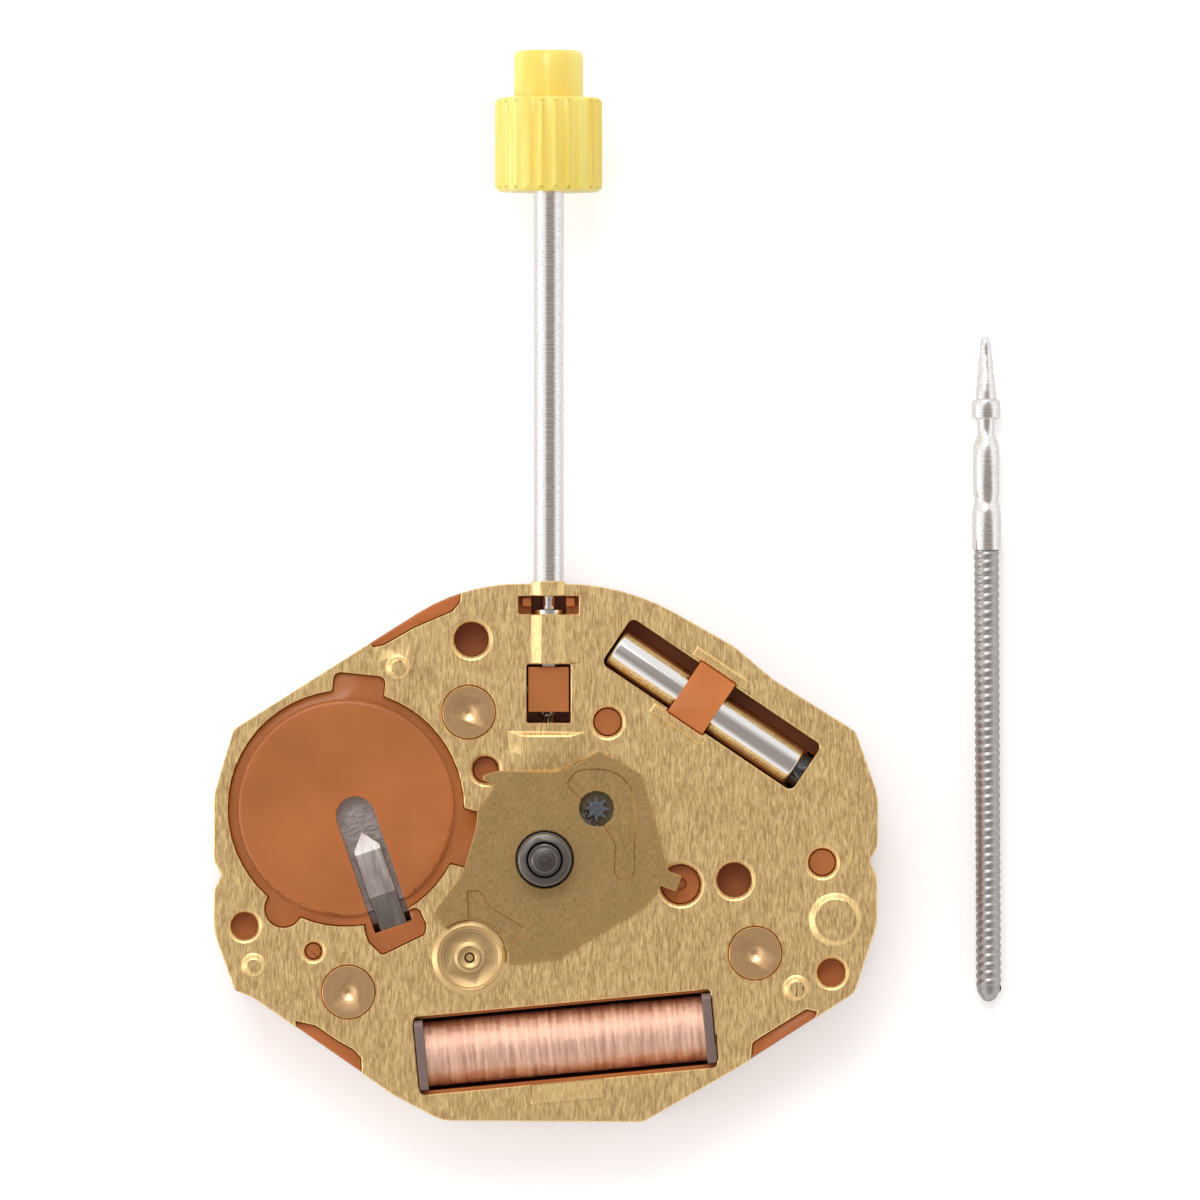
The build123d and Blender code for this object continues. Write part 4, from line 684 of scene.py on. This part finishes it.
def deselect():
    """Ends any edit and selects nothing."""
    if bpy.context.mode != "OBJECT":
        bpy.ops.object.mode_set(mode="OBJECT")
    bpy.ops.object.select_all(action="DESELECT")


def named(name):
    """Names the piece that an operator has just made."""
    piece = bpy.context.view_layer.objects.active
    piece.name = name
    piece.data.name = name
    return piece


def take(piece):
    """Makes a piece the only selected and active one."""
    deselect()
    piece.select_set(True)
    bpy.context.view_layer.objects.active = piece


def split_cells(piece, step):
    """Cuts the faces along a square grid, whose lines keep the cells apart when faces merge."""
    bpy.ops.object.mode_set(mode="EDIT")
    for axis in range(2):
        places = [corner[axis] for corner in piece.bound_box]
        at = min(places) + step / 2
        while at < max(places):
            point = Vector((0, 0, 0))
            normal = Vector((0, 0, 0))
            point[axis] = at
            normal[axis] = 1
            bpy.ops.mesh.select_all(action="SELECT")
            bpy.ops.mesh.bisect(plane_co=point, plane_no=normal)
            bpy.ops.mesh.mark_seam(clear=False)
            at += step


def node_copy(node, name, cell=None):
    """Merged copy of a CAD node, which can be edged and polished."""
    take(frame["nodes"][node])
    bpy.ops.object.duplicate()
    piece = named(name)
    piece.parent = None
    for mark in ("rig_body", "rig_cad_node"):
        if mark in piece:
            del piece[mark]
    bpy.ops.object.mode_set(mode="EDIT")
    bpy.ops.mesh.select_all(action="SELECT")
    bpy.ops.mesh.remove_doubles(threshold=NODE_WELD)
    if cell:
        split_cells(piece, cell)
    bpy.ops.mesh.select_all(action="SELECT")
    bpy.ops.mesh.dissolve_limited(angle_limit=radians(FLAT_ANGLE), delimit={"SEAM"})
    bpy.ops.object.mode_set(mode="OBJECT")
    return piece


def apply_modifier(piece, modifier):
    """Makes what a modifier does a part of the mesh."""
    take(piece)
    bpy.ops.object.modifier_apply(modifier=modifier.name)


def soften(piece, width, smooth=SMOOTH_ANGLE):
    """Breaks every sharp edge of a piece by a small width."""
    edges = piece.modifiers.new("Worn edges", "BEVEL")
    edges.width = width
    edges.segments = 1
    edges.limit_method = "ANGLE"
    edges.angle_limit = radians(WORN_ANGLE)
    edges.use_clamp_overlap = False
    apply_modifier(piece, edges)
    bpy.ops.object.shade_smooth_by_angle(angle=radians(smooth))


def wear(piece, material):
    """Gives a piece its one material."""
    piece.data.materials.clear()
    piece.data.materials.append(material)


def dress(material, *nodes):
    """Gives a material to CAD nodes that keep their own shape."""
    for node in nodes:
        wear(frame["nodes"][node], material)


def settle(piece, material, body, slot, *nodes):
    """Material, body and replaced nodes of a finished piece; its slot is not used."""
    wear(piece, material)
    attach(piece, body)
    if nodes:
        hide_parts(*nodes)


def finished_node(node, body, slot, material, width, cell=None, smooth=SMOOTH_ANGLE):
    """Puts an edged copy of a node in its place."""
    piece = node_copy(node, node + "_finished", cell)
    soften(piece, width, smooth)
    settle(piece, material, body, slot, node)


def draw_profile(name, points):
    """Chain of edges through points in the plane z = 0, left open in edit mode."""
    deselect()
    bpy.ops.mesh.primitive_plane_add(size=0.001, location=(0, 0, 0))
    piece = named(name)
    bpy.ops.object.mode_set(mode="EDIT")
    bpy.ops.mesh.select_all(action="SELECT")
    bpy.ops.mesh.merge(type="CENTER")
    bpy.ops.transform.translate(value=(*points[0], 0.0))
    for start, end in zip(points, points[1:]):
        bpy.ops.mesh.extrude_vertices_move(
            TRANSFORM_OT_translate={"value": (end[0] - start[0], end[1] - start[1], 0.0)}
        )
    return piece


def close_skin():
    """Closes the seams of the mesh in edit mode, turns its faces outwards and ends the edit."""
    bpy.ops.mesh.select_all(action="SELECT")
    bpy.ops.mesh.remove_doubles(threshold=SKIN_WELD)
    bpy.ops.mesh.normals_make_consistent(inside=False)
    bpy.ops.object.mode_set(mode="OBJECT")


def move_mesh(piece, matrix):
    """Places a piece by its mesh and leaves its object at the origin."""
    piece.data.transform(matrix)
    piece.data.update()


# Operators


class MOVEMENT_OT_plates(Operator):
    """Finish the main plate, the motion work cover, the rotor bearing and the pillars"""

    bl_idname = "movement.plates"
    bl_label = "Plates"

    def execute(self, context):
        sizes = context.scene.movement_sizes
        colours = context.scene.movement_colours
        brass = brushed(
            "Brushed brass",
            colours.brass,
            across=30000.0,
            along=4500.0,
            depth=4.2e-6,
            stops=(0.37, 0.63),
            clouding=0.10,
        )
        # Painted shade on the flat top of the raised field and in the tab recess
        paint_shade_patch(brass, *RAISED_FIELD_SHADE, tone=0.80, roughness=0.5)
        paint_shade_patch(brass, *TAB_RECESS_SHADE, tone=0.62, roughness=0.62)
        finished_node(
            "main_plate", "movement", "plate_brass", brass, sizes.edge, CELL, PLATE_SMOOTH_ANGLE
        )
        olive = brushed(
            "Olive satin brass",
            colours.olive,
            across=26000.0,
            along=9000.0,
            roughness=(0.36, 0.50),
            contrast=0.10,
            depth=0.8e-6,
        )
        finished_node("motion_work_cover", "movement", "cover_plate", olive, sizes.cover_edge)
        cup = turned(
            "Turned bearing brass",
            BEARING_BRASS,
            [ROTOR_AXIS],
            fineness=22.0,
            roughness=(0.34, 0.44),
        )
        finished_node("rotor_bearing", "movement", "bearing_brass", cup, sizes.fine_edge)
        rosy = turned(
            "Turned rosy brass",
            colours.rosy,
            PILLARS,
            fineness=18.0,
            roughness=(0.26, 0.30),
            contrast=0.03,
            depth=0.1e-6,
        )
        finished_node("pillars", "movement", "pillar_brass", rosy, sizes.fine_edge)
        return {"FINISHED"}


class MOVEMENT_OT_plastics(Operator):
    """Finish the amber module frame and the clutch slider"""

    bl_idname = "movement.plastics"
    bl_label = "Amber plastic"

    def execute(self, context):
        sizes = context.scene.movement_sizes
        amber = moulded("Amber plastic", context.scene.movement_colours.amber, glow=0.35)
        # Painted light: the amber above this level, the raised strap, is made lighter
        paint_light_above(amber, STRAP_LIGHT_LEVEL, amount=1.35)
        finished_node("module_frame", "movement", "amber_plastic", amber, sizes.frame_edge, CELL)
        finished_node("clutch_slider", "clutch", "amber_plastic", amber, sizes.fine_edge)
        return {"FINISHED"}


class MOVEMENT_OT_cell(Operator):
    """Finish the button cell and its contact strip"""

    bl_idname = "movement.cell"
    bl_label = "Cell and contact"

    def execute(self, context):
        sizes = context.scene.movement_sizes
        nickel = brushed(
            "Rolled nickel",
            NICKEL,
            across=9000.0,
            along=1500.0,
            roughness=(0.28, 0.45),
            contrast=0.25,
            angle=-CONTACT_TILT,
        )
        # Painted shade on the low foot of the contact strip
        paint_shade_patch(nickel, *CONTACT_FOOT_SHADE, tone=0.42, roughness=0.5)
        finished_node("battery_contact", "movement", "spring_steel", nickel, sizes.fine_edge)
        can = brushed(
            "Cell steel",
            CELL_STEEL,
            along=6000.0,
            roughness=(0.26, 0.46),
            contrast=0.26,
            depth=2.5e-6,
            angle=65.0,
        )
        finished_node("battery", "movement", "cell_steel", can, sizes.fine_edge)
        return {"FINISHED"}


class MOVEMENT_OT_coil(Operator):
    """Wind the coil over a dark tray of painted shade, and finish its flanges, core and stator"""

    bl_idname = "movement.coil"
    bl_label = "Coil"

    def execute(self, context):
        sizes = context.scene.movement_sizes
        copper = streaked(
            "Enamelled copper",
            context.scene.movement_colours.copper,
            across=9000.0,
            along=700.0,
            tones=(0.70, 1.25),
            roughness=(0.48, 0.70),
            metallic=0.8,
            angle=-COIL_TILT,
        )
        settle(self.wind(sizes), copper, "movement", "copper_wire", "coil_winding")
        # Painted shade: a dark tray that fills the coil's window with shade
        painted_shade = moulded("Dark film", SHADE_SHEET_BROWN, glow=0.0, roughness=0.5)
        settle(self.lay_shade_tray(sizes), painted_shade, "movement", "flange_plastic")
        flange = moulded("Flange plastic", FLANGE_BROWN, glow=0.2, roughness=0.4)
        finished_node("coil_flanges", "movement", "flange_plastic", flange, sizes.fine_edge)
        # Painted shade: the core and stator are darkened to brown in place of grey iron
        iron = brushed("Iron in painted shade", IRON_IN_SHADE, across=9000.0, along=9000.0, contrast=0.12)
        dress(iron, "coil_core", "stator")
        return {"FINISHED"}

    def wind(self, sizes):
        """Shapes one turn of wire and repeats it along the coil, a little unevenly."""
        pitch = sizes.coil_length / sizes.coil_turns
        root = sizes.coil_radius - WIRE_CREST
        deselect()
        bpy.ops.mesh.primitive_cylinder_add(
            vertices=WIRE_SIDES,
            radius=root,
            depth=pitch,
            end_fill_type="NOTHING",
            location=(0, 0, 0),
        )
        coil = named("coil_wire")
        bpy.ops.object.mode_set(mode="EDIT")
        bpy.ops.mesh.select_all(action="SELECT")
        bpy.ops.mesh.subdivide(number_cuts=1)
        bpy.ops.mesh.select_all(action="DESELECT")
        bpy.ops.object.mode_set(mode="OBJECT")
        for vertex in coil.data.vertices:
            vertex.select = abs(vertex.co.z) < pitch / 4
        bpy.ops.object.mode_set(mode="EDIT")
        crest = sizes.coil_radius / root
        bpy.ops.transform.resize(value=(crest, crest, 1.0))
        bpy.ops.object.mode_set(mode="OBJECT")
        turns = coil.modifiers.new("Turns", "ARRAY")
        turns.count = sizes.coil_turns
        turns.use_relative_offset = False
        turns.use_constant_offset = True
        turns.constant_offset_displace = (0, 0, pitch)
        turns.use_merge_vertices = True
        turns.merge_threshold = 0.05 * pitch
        apply_modifier(coil, turns)
        clouds = bpy.data.textures.new("Uneven winding", "CLOUDS")
        clouds.noise_scale = WINDING_CLOUDS
        waver = coil.modifiers.new("Uneven winding", "DISPLACE")
        waver.texture = clouds
        waver.texture_coords = "LOCAL"
        waver.direction = "NORMAL"
        waver.strength = WINDING_WAVER
        waver.mid_level = 1.0
        apply_modifier(coil, waver)
        bpy.ops.object.shade_smooth()
        move_mesh(
            coil,
            Matrix.Translation(COIL_CENTRE)
            @ Matrix.Rotation(radians(COIL_TILT), 4, "Z")
            @ Matrix.Rotation(radians(90), 4, "Y")
            @ Matrix.Translation((0, 0, -(sizes.coil_length - pitch) / 2)),
        )
        return coil

    def lay_shade_tray(self, sizes):
        """Lays a shallow dark tray under the coil, a sheet of painted shade that closes its
        window.
        """
        spans = (sizes.coil_length + TRAY_MARGIN[0], 2 * sizes.coil_radius + TRAY_MARGIN[1])
        deselect()
        bpy.ops.mesh.primitive_plane_add(size=1.0, location=(0, 0, 0))
        tray = named("coil_tray")
        bpy.ops.object.mode_set(mode="EDIT")
        bpy.ops.mesh.select_all(action="SELECT")
        bpy.ops.transform.resize(value=(*spans, 1.0))
        bpy.ops.mesh.inset(thickness=TRAY_RIM, depth=-TRAY_DEPTH)
        bpy.ops.object.mode_set(mode="OBJECT")
        wall = tray.modifiers.new("Wall", "SOLIDIFY")
        wall.thickness = TRAY_WALL
        wall.offset = -1.0
        apply_modifier(tray, wall)
        soften(tray, TRAY_EDGE)
        move_mesh(
            tray,
            Matrix.Translation((COIL_CENTRE.x, COIL_CENTRE.y, TRAY_LEVEL))
            @ Matrix.Rotation(radians(COIL_TILT), 4, "Z"),
        )
        return tray


class MOVEMENT_OT_crystal(Operator):
    """Finish the tuning fork crystal's can and its glass base"""

    bl_idname = "movement.crystal"
    bl_label = "Crystal"

    def execute(self, context):
        can = streaked(
            "Drawn can",
            context.scene.movement_colours.steel,
            across=9000.0,
            along=500.0,
            tones=(0.86, 1.1),
            roughness=(0.07, 0.16),
            angle=90 - CRYSTAL_TILT,
            pattern="Patches",
        )
        glass, tree, shader, mapping = finish(
            "Seal glass", SEAL_GLASS, metallic=0.0, roughness=0.12
        )
        skin = use_group(tree, mould_group(), mapping)
        emboss(tree, shader, skin.outputs["Cloud"], depth=4e-6)
        for node, slot, material in (
            ("crystal_can", "crystal_steel", can),
            ("crystal_base", "seal_glass", glass),
        ):
            piece = node_copy(node, node + "_finished")
            take(piece)
            bpy.ops.object.shade_smooth_by_angle(angle=radians(CRYSTAL_SMOOTH_ANGLE))
            settle(piece, material, "movement", slot, node)
        return {"FINISHED"}


class MOVEMENT_OT_hands(Operator):
    """Finish the hand seats at the centre and the motion work below them"""

    bl_idname = "movement.hands"
    bl_label = "Hand seats and motion work"

    def execute(self, context):
        sizes = context.scene.movement_sizes
        for name, tone, node, body in (
            ("Dark turned steel", DARK_STEEL, "cannon_pinion", "centre"),
            ("Grey turned steel", GREY_STEEL, "hour_wheel", "hour"),
        ):
            seat = turned(
                name,
                tone,
                [HAND_AXIS],
                fineness=40.0,
                roughness=(0.24, 0.42),
                contrast=0.25,
                depth=1.2e-6,
            )
            finished_node(node, body, "hand_seat_steel", seat, sizes.fine_edge)
        blue = brushed(
            "Blue grey steel",
            BLUE_STEEL,
            across=30000.0,
            along=30000.0,
            roughness=(0.3, 0.42),
            contrast=0.12,
        )
        finished_node("minute_pinion", "minute", "pinion_steel", blue, sizes.fine_edge)
        # Painted shade: the wheels deep under the cover are darkened
        satin = brushed(
            "Wheel brass in painted shade", WHEEL_BRASS_IN_SHADE, across=24000.0, along=24000.0, contrast=0.1
        )
        dress(satin, "minute_wheel", "setting_wheel")
        return {"FINISHED"}


class MOVEMENT_OT_train(Operator):
    """Finish the wheels and pinions of the train, the rotor and the setting levers"""

    bl_idname = "movement.train"
    bl_label = "Wheel train"

    def execute(self, context):
        gilt = brushed(
            "Gilt wheel brass", GILT_BRASS, across=24000.0, along=24000.0, contrast=0.1
        )
        dress(gilt, "centre_wheel", "third_wheel", "intermediate_wheel", "rotor_pinion")
        steel = brushed("Pinion steel", PINION_STEEL, across=30000.0, along=30000.0, contrast=0.1)
        dress(steel, "centre_arbor", "third_pinion", "intermediate_pinion")
        dress(steel, "setting_lever", "yoke")
        ground = brushed("Ground magnet", MAGNET, across=14000.0, along=14000.0, contrast=0.2)
        dress(ground, "rotor_magnet")
        return {"FINISHED"}


class MOVEMENT_OT_stem(Operator):
    """Finish the setting stem, its sliding pinion and its fluted knob"""

    bl_idname = "movement.stem"
    bl_label = "Setting stem"

    def execute(self, context):
        sizes = context.scene.movement_sizes
        colours = context.scene.movement_colours
        steel = rod_finish("Polished stem steel", colours.steel)
        finished_node("setting_stem", "stem", "stem_steel", steel, sizes.fine_edge)
        dress(steel, "sliding_pinion")
        yellow = moulded(
            "Yellow plastic", colours.yellow, glow=0.45, roughness=0.16, reach=1.2 * MM
        )
        tree = yellow.node_tree
        # Streaks of the knob: moulding flow, and also painted highlights in place of the lamps'
        # streaks
        flow_and_highlights = use_group(tree, grain_group(), tree.nodes["Mapping"])
        flow_and_highlights.inputs["Across"].default_value = 1300.0
        flow_and_highlights.inputs["Along"].default_value = 40.0
        shader = tree.nodes["Principled BSDF"]
        shade(tree, shader, flow_and_highlights.outputs["Streaks"], *KNOB_FLOW_AND_HIGHLIGHTS, stops=(0.36, 0.62))
        finished_node("setting_knob", "stem", "knob_plastic", yellow, 2 * sizes.fine_edge)
        return {"FINISHED"}


class MOVEMENT_OT_loose_stem(Operator):
    """Turn the loose stem and cut its thread"""

    bl_idname = "movement.loose_stem"
    bl_label = "Loose stem"

    def execute(self, context):
        sizes = context.scene.movement_sizes
        root = sizes.thread_radius - sizes.thread_depth
        end = -LOOSE_LENGTH
        neck = [(share * LOOSE_COLLAR, along * end) for along, share in LOOSE_PROFILE]
        start = neck[-1][1]
        tip = [(share * root, end + height) for share, height in LOOSE_TIP]
        stem = self.turn_shank([*neck, (root, start - THREAD_LEAD_IN), *tip])
        thread = self.cut_thread(sizes, root, start, tip[0][1])
        take(stem)
        thread.select_set(True)
        bpy.ops.object.join()
        place = Matrix.Translation(LOOSE_TOP)
        move_mesh(stem, place @ Matrix.Rotation(radians(LOOSE_TURN), 4, "Z"))
        colour = context.scene.movement_colours.steel
        steel = rod_finish("Loose stem steel", colour, roughness=(0.10, 0.24))
        middle = place @ Vector((0, (start + end) / 2, 0))
        # Painted shade on the thread, which is darkened and made rougher
        paint_shade_patch(
            steel, middle, LOOSE_TURN, (THREAD_REACH, start - end), tone=0.52, roughness=0.40
        )
        settle(stem, steel, "movement", "stem_steel", "loose_stem")
        return {"FINISHED"}

    def turn_shank(self, points):
        """Turns a profile once round the Y axis."""
        stem = draw_profile("loose_stem_turned", points)
        bpy.ops.mesh.select_all(action="SELECT")
        bpy.ops.mesh.spin(steps=SHANK_STEPS, angle=2 * pi, center=(0, 0, 0), axis=(0, 1, 0))
        close_skin()
        take(stem)
        bpy.ops.object.shade_smooth_by_angle(angle=radians(SHANK_SMOOTH_ANGLE))
        return stem

    def cut_thread(self, sizes, root, start, end):
        """Winds the thread's rounded ridge round the Y axis, from its end to its start."""
        pitch = sizes.thread_pitch
        foot = root - THREAD_SINK
        ridge = sizes.thread_radius - foot
        shares = [step / THREAD_ARC_STEPS for step in range(THREAD_ARC_STEPS + 1)]
        arc = [(foot + ridge * sin(pi * share), pitch * share) for share in shares]
        thread = draw_profile("loose_stem_thread", arc)
        bpy.ops.object.mode_set(mode="OBJECT")
        cut = thread.modifiers.new("Thread", "SCREW")
        cut.axis = "Y"
        cut.angle = 2 * pi
        cut.screw_offset = pitch
        cut.iterations = int((start - end) / pitch)
        cut.steps = THREAD_STEPS
        cut.render_steps = THREAD_STEPS
        cut.use_normal_calculate = True
        cut.use_smooth_shade = True
        apply_modifier(thread, cut)
        bpy.ops.object.mode_set(mode="EDIT")
        close_skin()
        bpy.ops.object.shade_smooth_by_angle(angle=radians(THREAD_SMOOTH_ANGLE))
        move_mesh(thread, Matrix.Translation((0, end - pitch / 5, 0)))
        return thread


class MOVEMENT_OT_back(Operator):
    """Finish the back cover, its screws and the circuit under it"""

    bl_idname = "movement.back"
    bl_label = "Back"

    def execute(self, context):
        sizes = context.scene.movement_sizes
        cover = brushed(
            "Brushed cover steel",
            COVER_STEEL,
            across=3000.0,
            along=26000.0,
            roughness=(0.26, 0.40),
            contrast=0.12,
        )
        # Painted shade: the inside face of the cover is darkened to a tenth
        paint_light_above(cover, COVER_SHADE_LEVEL, amount=0.10)
        finished_node("back_cover", "movement", "cover_steel", cover, sizes.fine_edge)
        screws = turned("Screw steel", SCREW_STEEL, PILLARS, fineness=26.0)
        finished_node("cover_screws", "movement", "screw_steel", screws, sizes.fine_edge)
        resin = moulded("Black resin", RESIN, glow=0.0, roughness=0.18)
        finished_node("chip", "movement", "resin", resin, sizes.fine_edge)
        board = moulded("Coated board", BOARD_GREEN, glow=0.0, roughness=0.34)
        dress(board, "circuit_board")
        insulator = moulded("Pale plastic", PALE_PLASTIC, glow=0.2, roughness=0.42)
        dress(insulator, "circuit_insulator")
        bridge = moulded("Dark plastic", DARK_PLASTIC, glow=0.0, roughness=0.42)
        dress(bridge, "train_bridge")
        return {"FINISHED"}


class MOVEMENT_OT_stage(Operator):
    """Lay the floor, set the lights and place the camera straight above"""

    bl_idname = "movement.stage"
    bl_label = "Stage"

    def execute(self, context):
        scene = context.scene
        self.lay_floor()
        self.light_sky(scene)
        self.hang_lamps(scene)
        self.place_camera(scene)
        scene.view_settings.view_transform = "Standard"
        return {"FINISHED"}

    def lay_floor(self):
        """Lays a pale floor, which glows a little where it is looked at."""
        deselect()
        bpy.ops.mesh.primitive_plane_add(size=FLOOR_SIZE, location=(0, 0, FLOOR_LEVEL))
        floor = named("floor")
        material = bpy.data.materials.new("White floor")
        material.use_nodes = True
        tree = material.node_tree
        shader = tree.nodes["Principled BSDF"]
        shader.inputs["Base Color"].default_value = (*FLOOR_TONE, 1.0)
        shader.inputs["Roughness"].default_value = 0.9
        shader.inputs["Specular IOR Level"].default_value = 0.0
        glow = tree.nodes.new("ShaderNodeEmission")
        glow.inputs["Strength"].default_value = FLOOR_GLOW
        glowing = tree.nodes.new("ShaderNodeAddShader")
        tree.links.new(shader.outputs[0], glowing.inputs[0])
        tree.links.new(glow.outputs[0], glowing.inputs[1])
        rays = tree.nodes.new("ShaderNodeLightPath").outputs
        seen = calculate(tree, "MAXIMUM", rays["Is Camera Ray"], rays["Is Transmission Ray"])
        switch_shaders(tree, seen, shader, glowing, "Material Output")
        wear(floor, material)

    def light_sky(self, scene):
        """Makes a white sky with a darker patch overhead, and plain white for the camera."""
        world = bpy.data.worlds.new("Studio")
        world.use_nodes = True
        scene.world = world
        tree = world.node_tree
        background = tree.nodes["Background"]
        coords = tree.nodes.new("ShaderNodeTexCoord").outputs["Generated"]
        towards = combine(tree, "DOT_PRODUCT", coords, SKY_AXIS.normalized())
        patch = tree.nodes.new("ShaderNodeValToRGB")
        patch.color_ramp.interpolation = "EASE"
        set_ramp(patch, SKY_STOPS, SKY_TONES)
        tree.links.new(towards.outputs["Value"], patch.inputs["Fac"])
        tree.links.new(patch.outputs["Color"], background.inputs["Color"])
        backdrop = tree.nodes.new("ShaderNodeBackground")
        backdrop.inputs["Color"].default_value = (1.0, 1.0, 1.0, 1.0)
        rays = tree.nodes.new("ShaderNodeLightPath").outputs
        switch_shaders(tree, rays["Is Camera Ray"], background, backdrop, "World Output")

    def hang_lamps(self, scene):
        """Hangs square lamps that point at the hand axis and stay out of the picture."""
        for name, place, size, power in LAMPS:
            data = bpy.data.lights.new(name, "AREA")
            data.shape = "SQUARE"
            data.size = size
            data.energy = power
            lamp = bpy.data.objects.new(name, data)
            scene.collection.objects.link(lamp)
            lamp.location = place
            lamp.rotation_euler = (-lamp.location).to_track_quat("-Z", "Y").to_euler()
            lamp.visible_camera = False

    def place_camera(self, scene):
        """Places a long lens straight above, far enough to see the view's width."""
        data = bpy.data.cameras.new("camera")
        data.lens = LENS
        data.sensor_width = SENSOR
        data.clip_start = 0.001
        data.clip_end = 10.0
        camera = bpy.data.objects.new("camera", data)
        scene.collection.objects.link(camera)
        camera.location = (*VIEW_CENTRE, VIEW_WIDTH * data.lens / data.sensor_width)
        scene.camera = camera


OPERATORS = (
    MOVEMENT_OT_stage,
    MOVEMENT_OT_plates,
    MOVEMENT_OT_plastics,
    MOVEMENT_OT_cell,
    MOVEMENT_OT_coil,
    MOVEMENT_OT_crystal,
    MOVEMENT_OT_hands,
    MOVEMENT_OT_train,
    MOVEMENT_OT_stem,
    MOVEMENT_OT_loose_stem,
    MOVEMENT_OT_back,
)


class MOVEMENT_PT_panel(Panel):
    """Sizes, colours and steps of the movement"""

    bl_idname = "MOVEMENT_PT_panel"
    bl_label = "Quartz movement"
    bl_space_type = "VIEW_3D"
    bl_region_type = "UI"
    bl_category = "Movement"

    def draw(self, context):
        for group in (context.scene.movement_sizes, context.scene.movement_colours):
            for name in group.__annotations__:
                self.layout.prop(group, name)
        for operator in OPERATORS:
            self.layout.operator(operator.bl_idname)


CLASSES = (MovementSizes, MovementColours, *OPERATORS, MOVEMENT_PT_panel)


def register():
    for item in CLASSES:
        bpy.utils.register_class(item)
    bpy.types.Scene.movement_sizes = PointerProperty(type=MovementSizes)
    bpy.types.Scene.movement_colours = PointerProperty(type=MovementColours)


def unregister():
    del bpy.types.Scene.movement_colours
    del bpy.types.Scene.movement_sizes
    for item in reversed(CLASSES):
        bpy.utils.unregister_class(item)


def main():
    register()
    bpy.ops.movement.stage()
    bpy.ops.movement.plates()
    bpy.ops.movement.plastics()
    bpy.ops.movement.cell()
    bpy.ops.movement.coil()
    bpy.ops.movement.crystal()
    bpy.ops.movement.hands()
    bpy.ops.movement.train()
    bpy.ops.movement.stem()
    bpy.ops.movement.loose_stem()
    bpy.ops.movement.back()


if __name__ == "__main__":
    main()
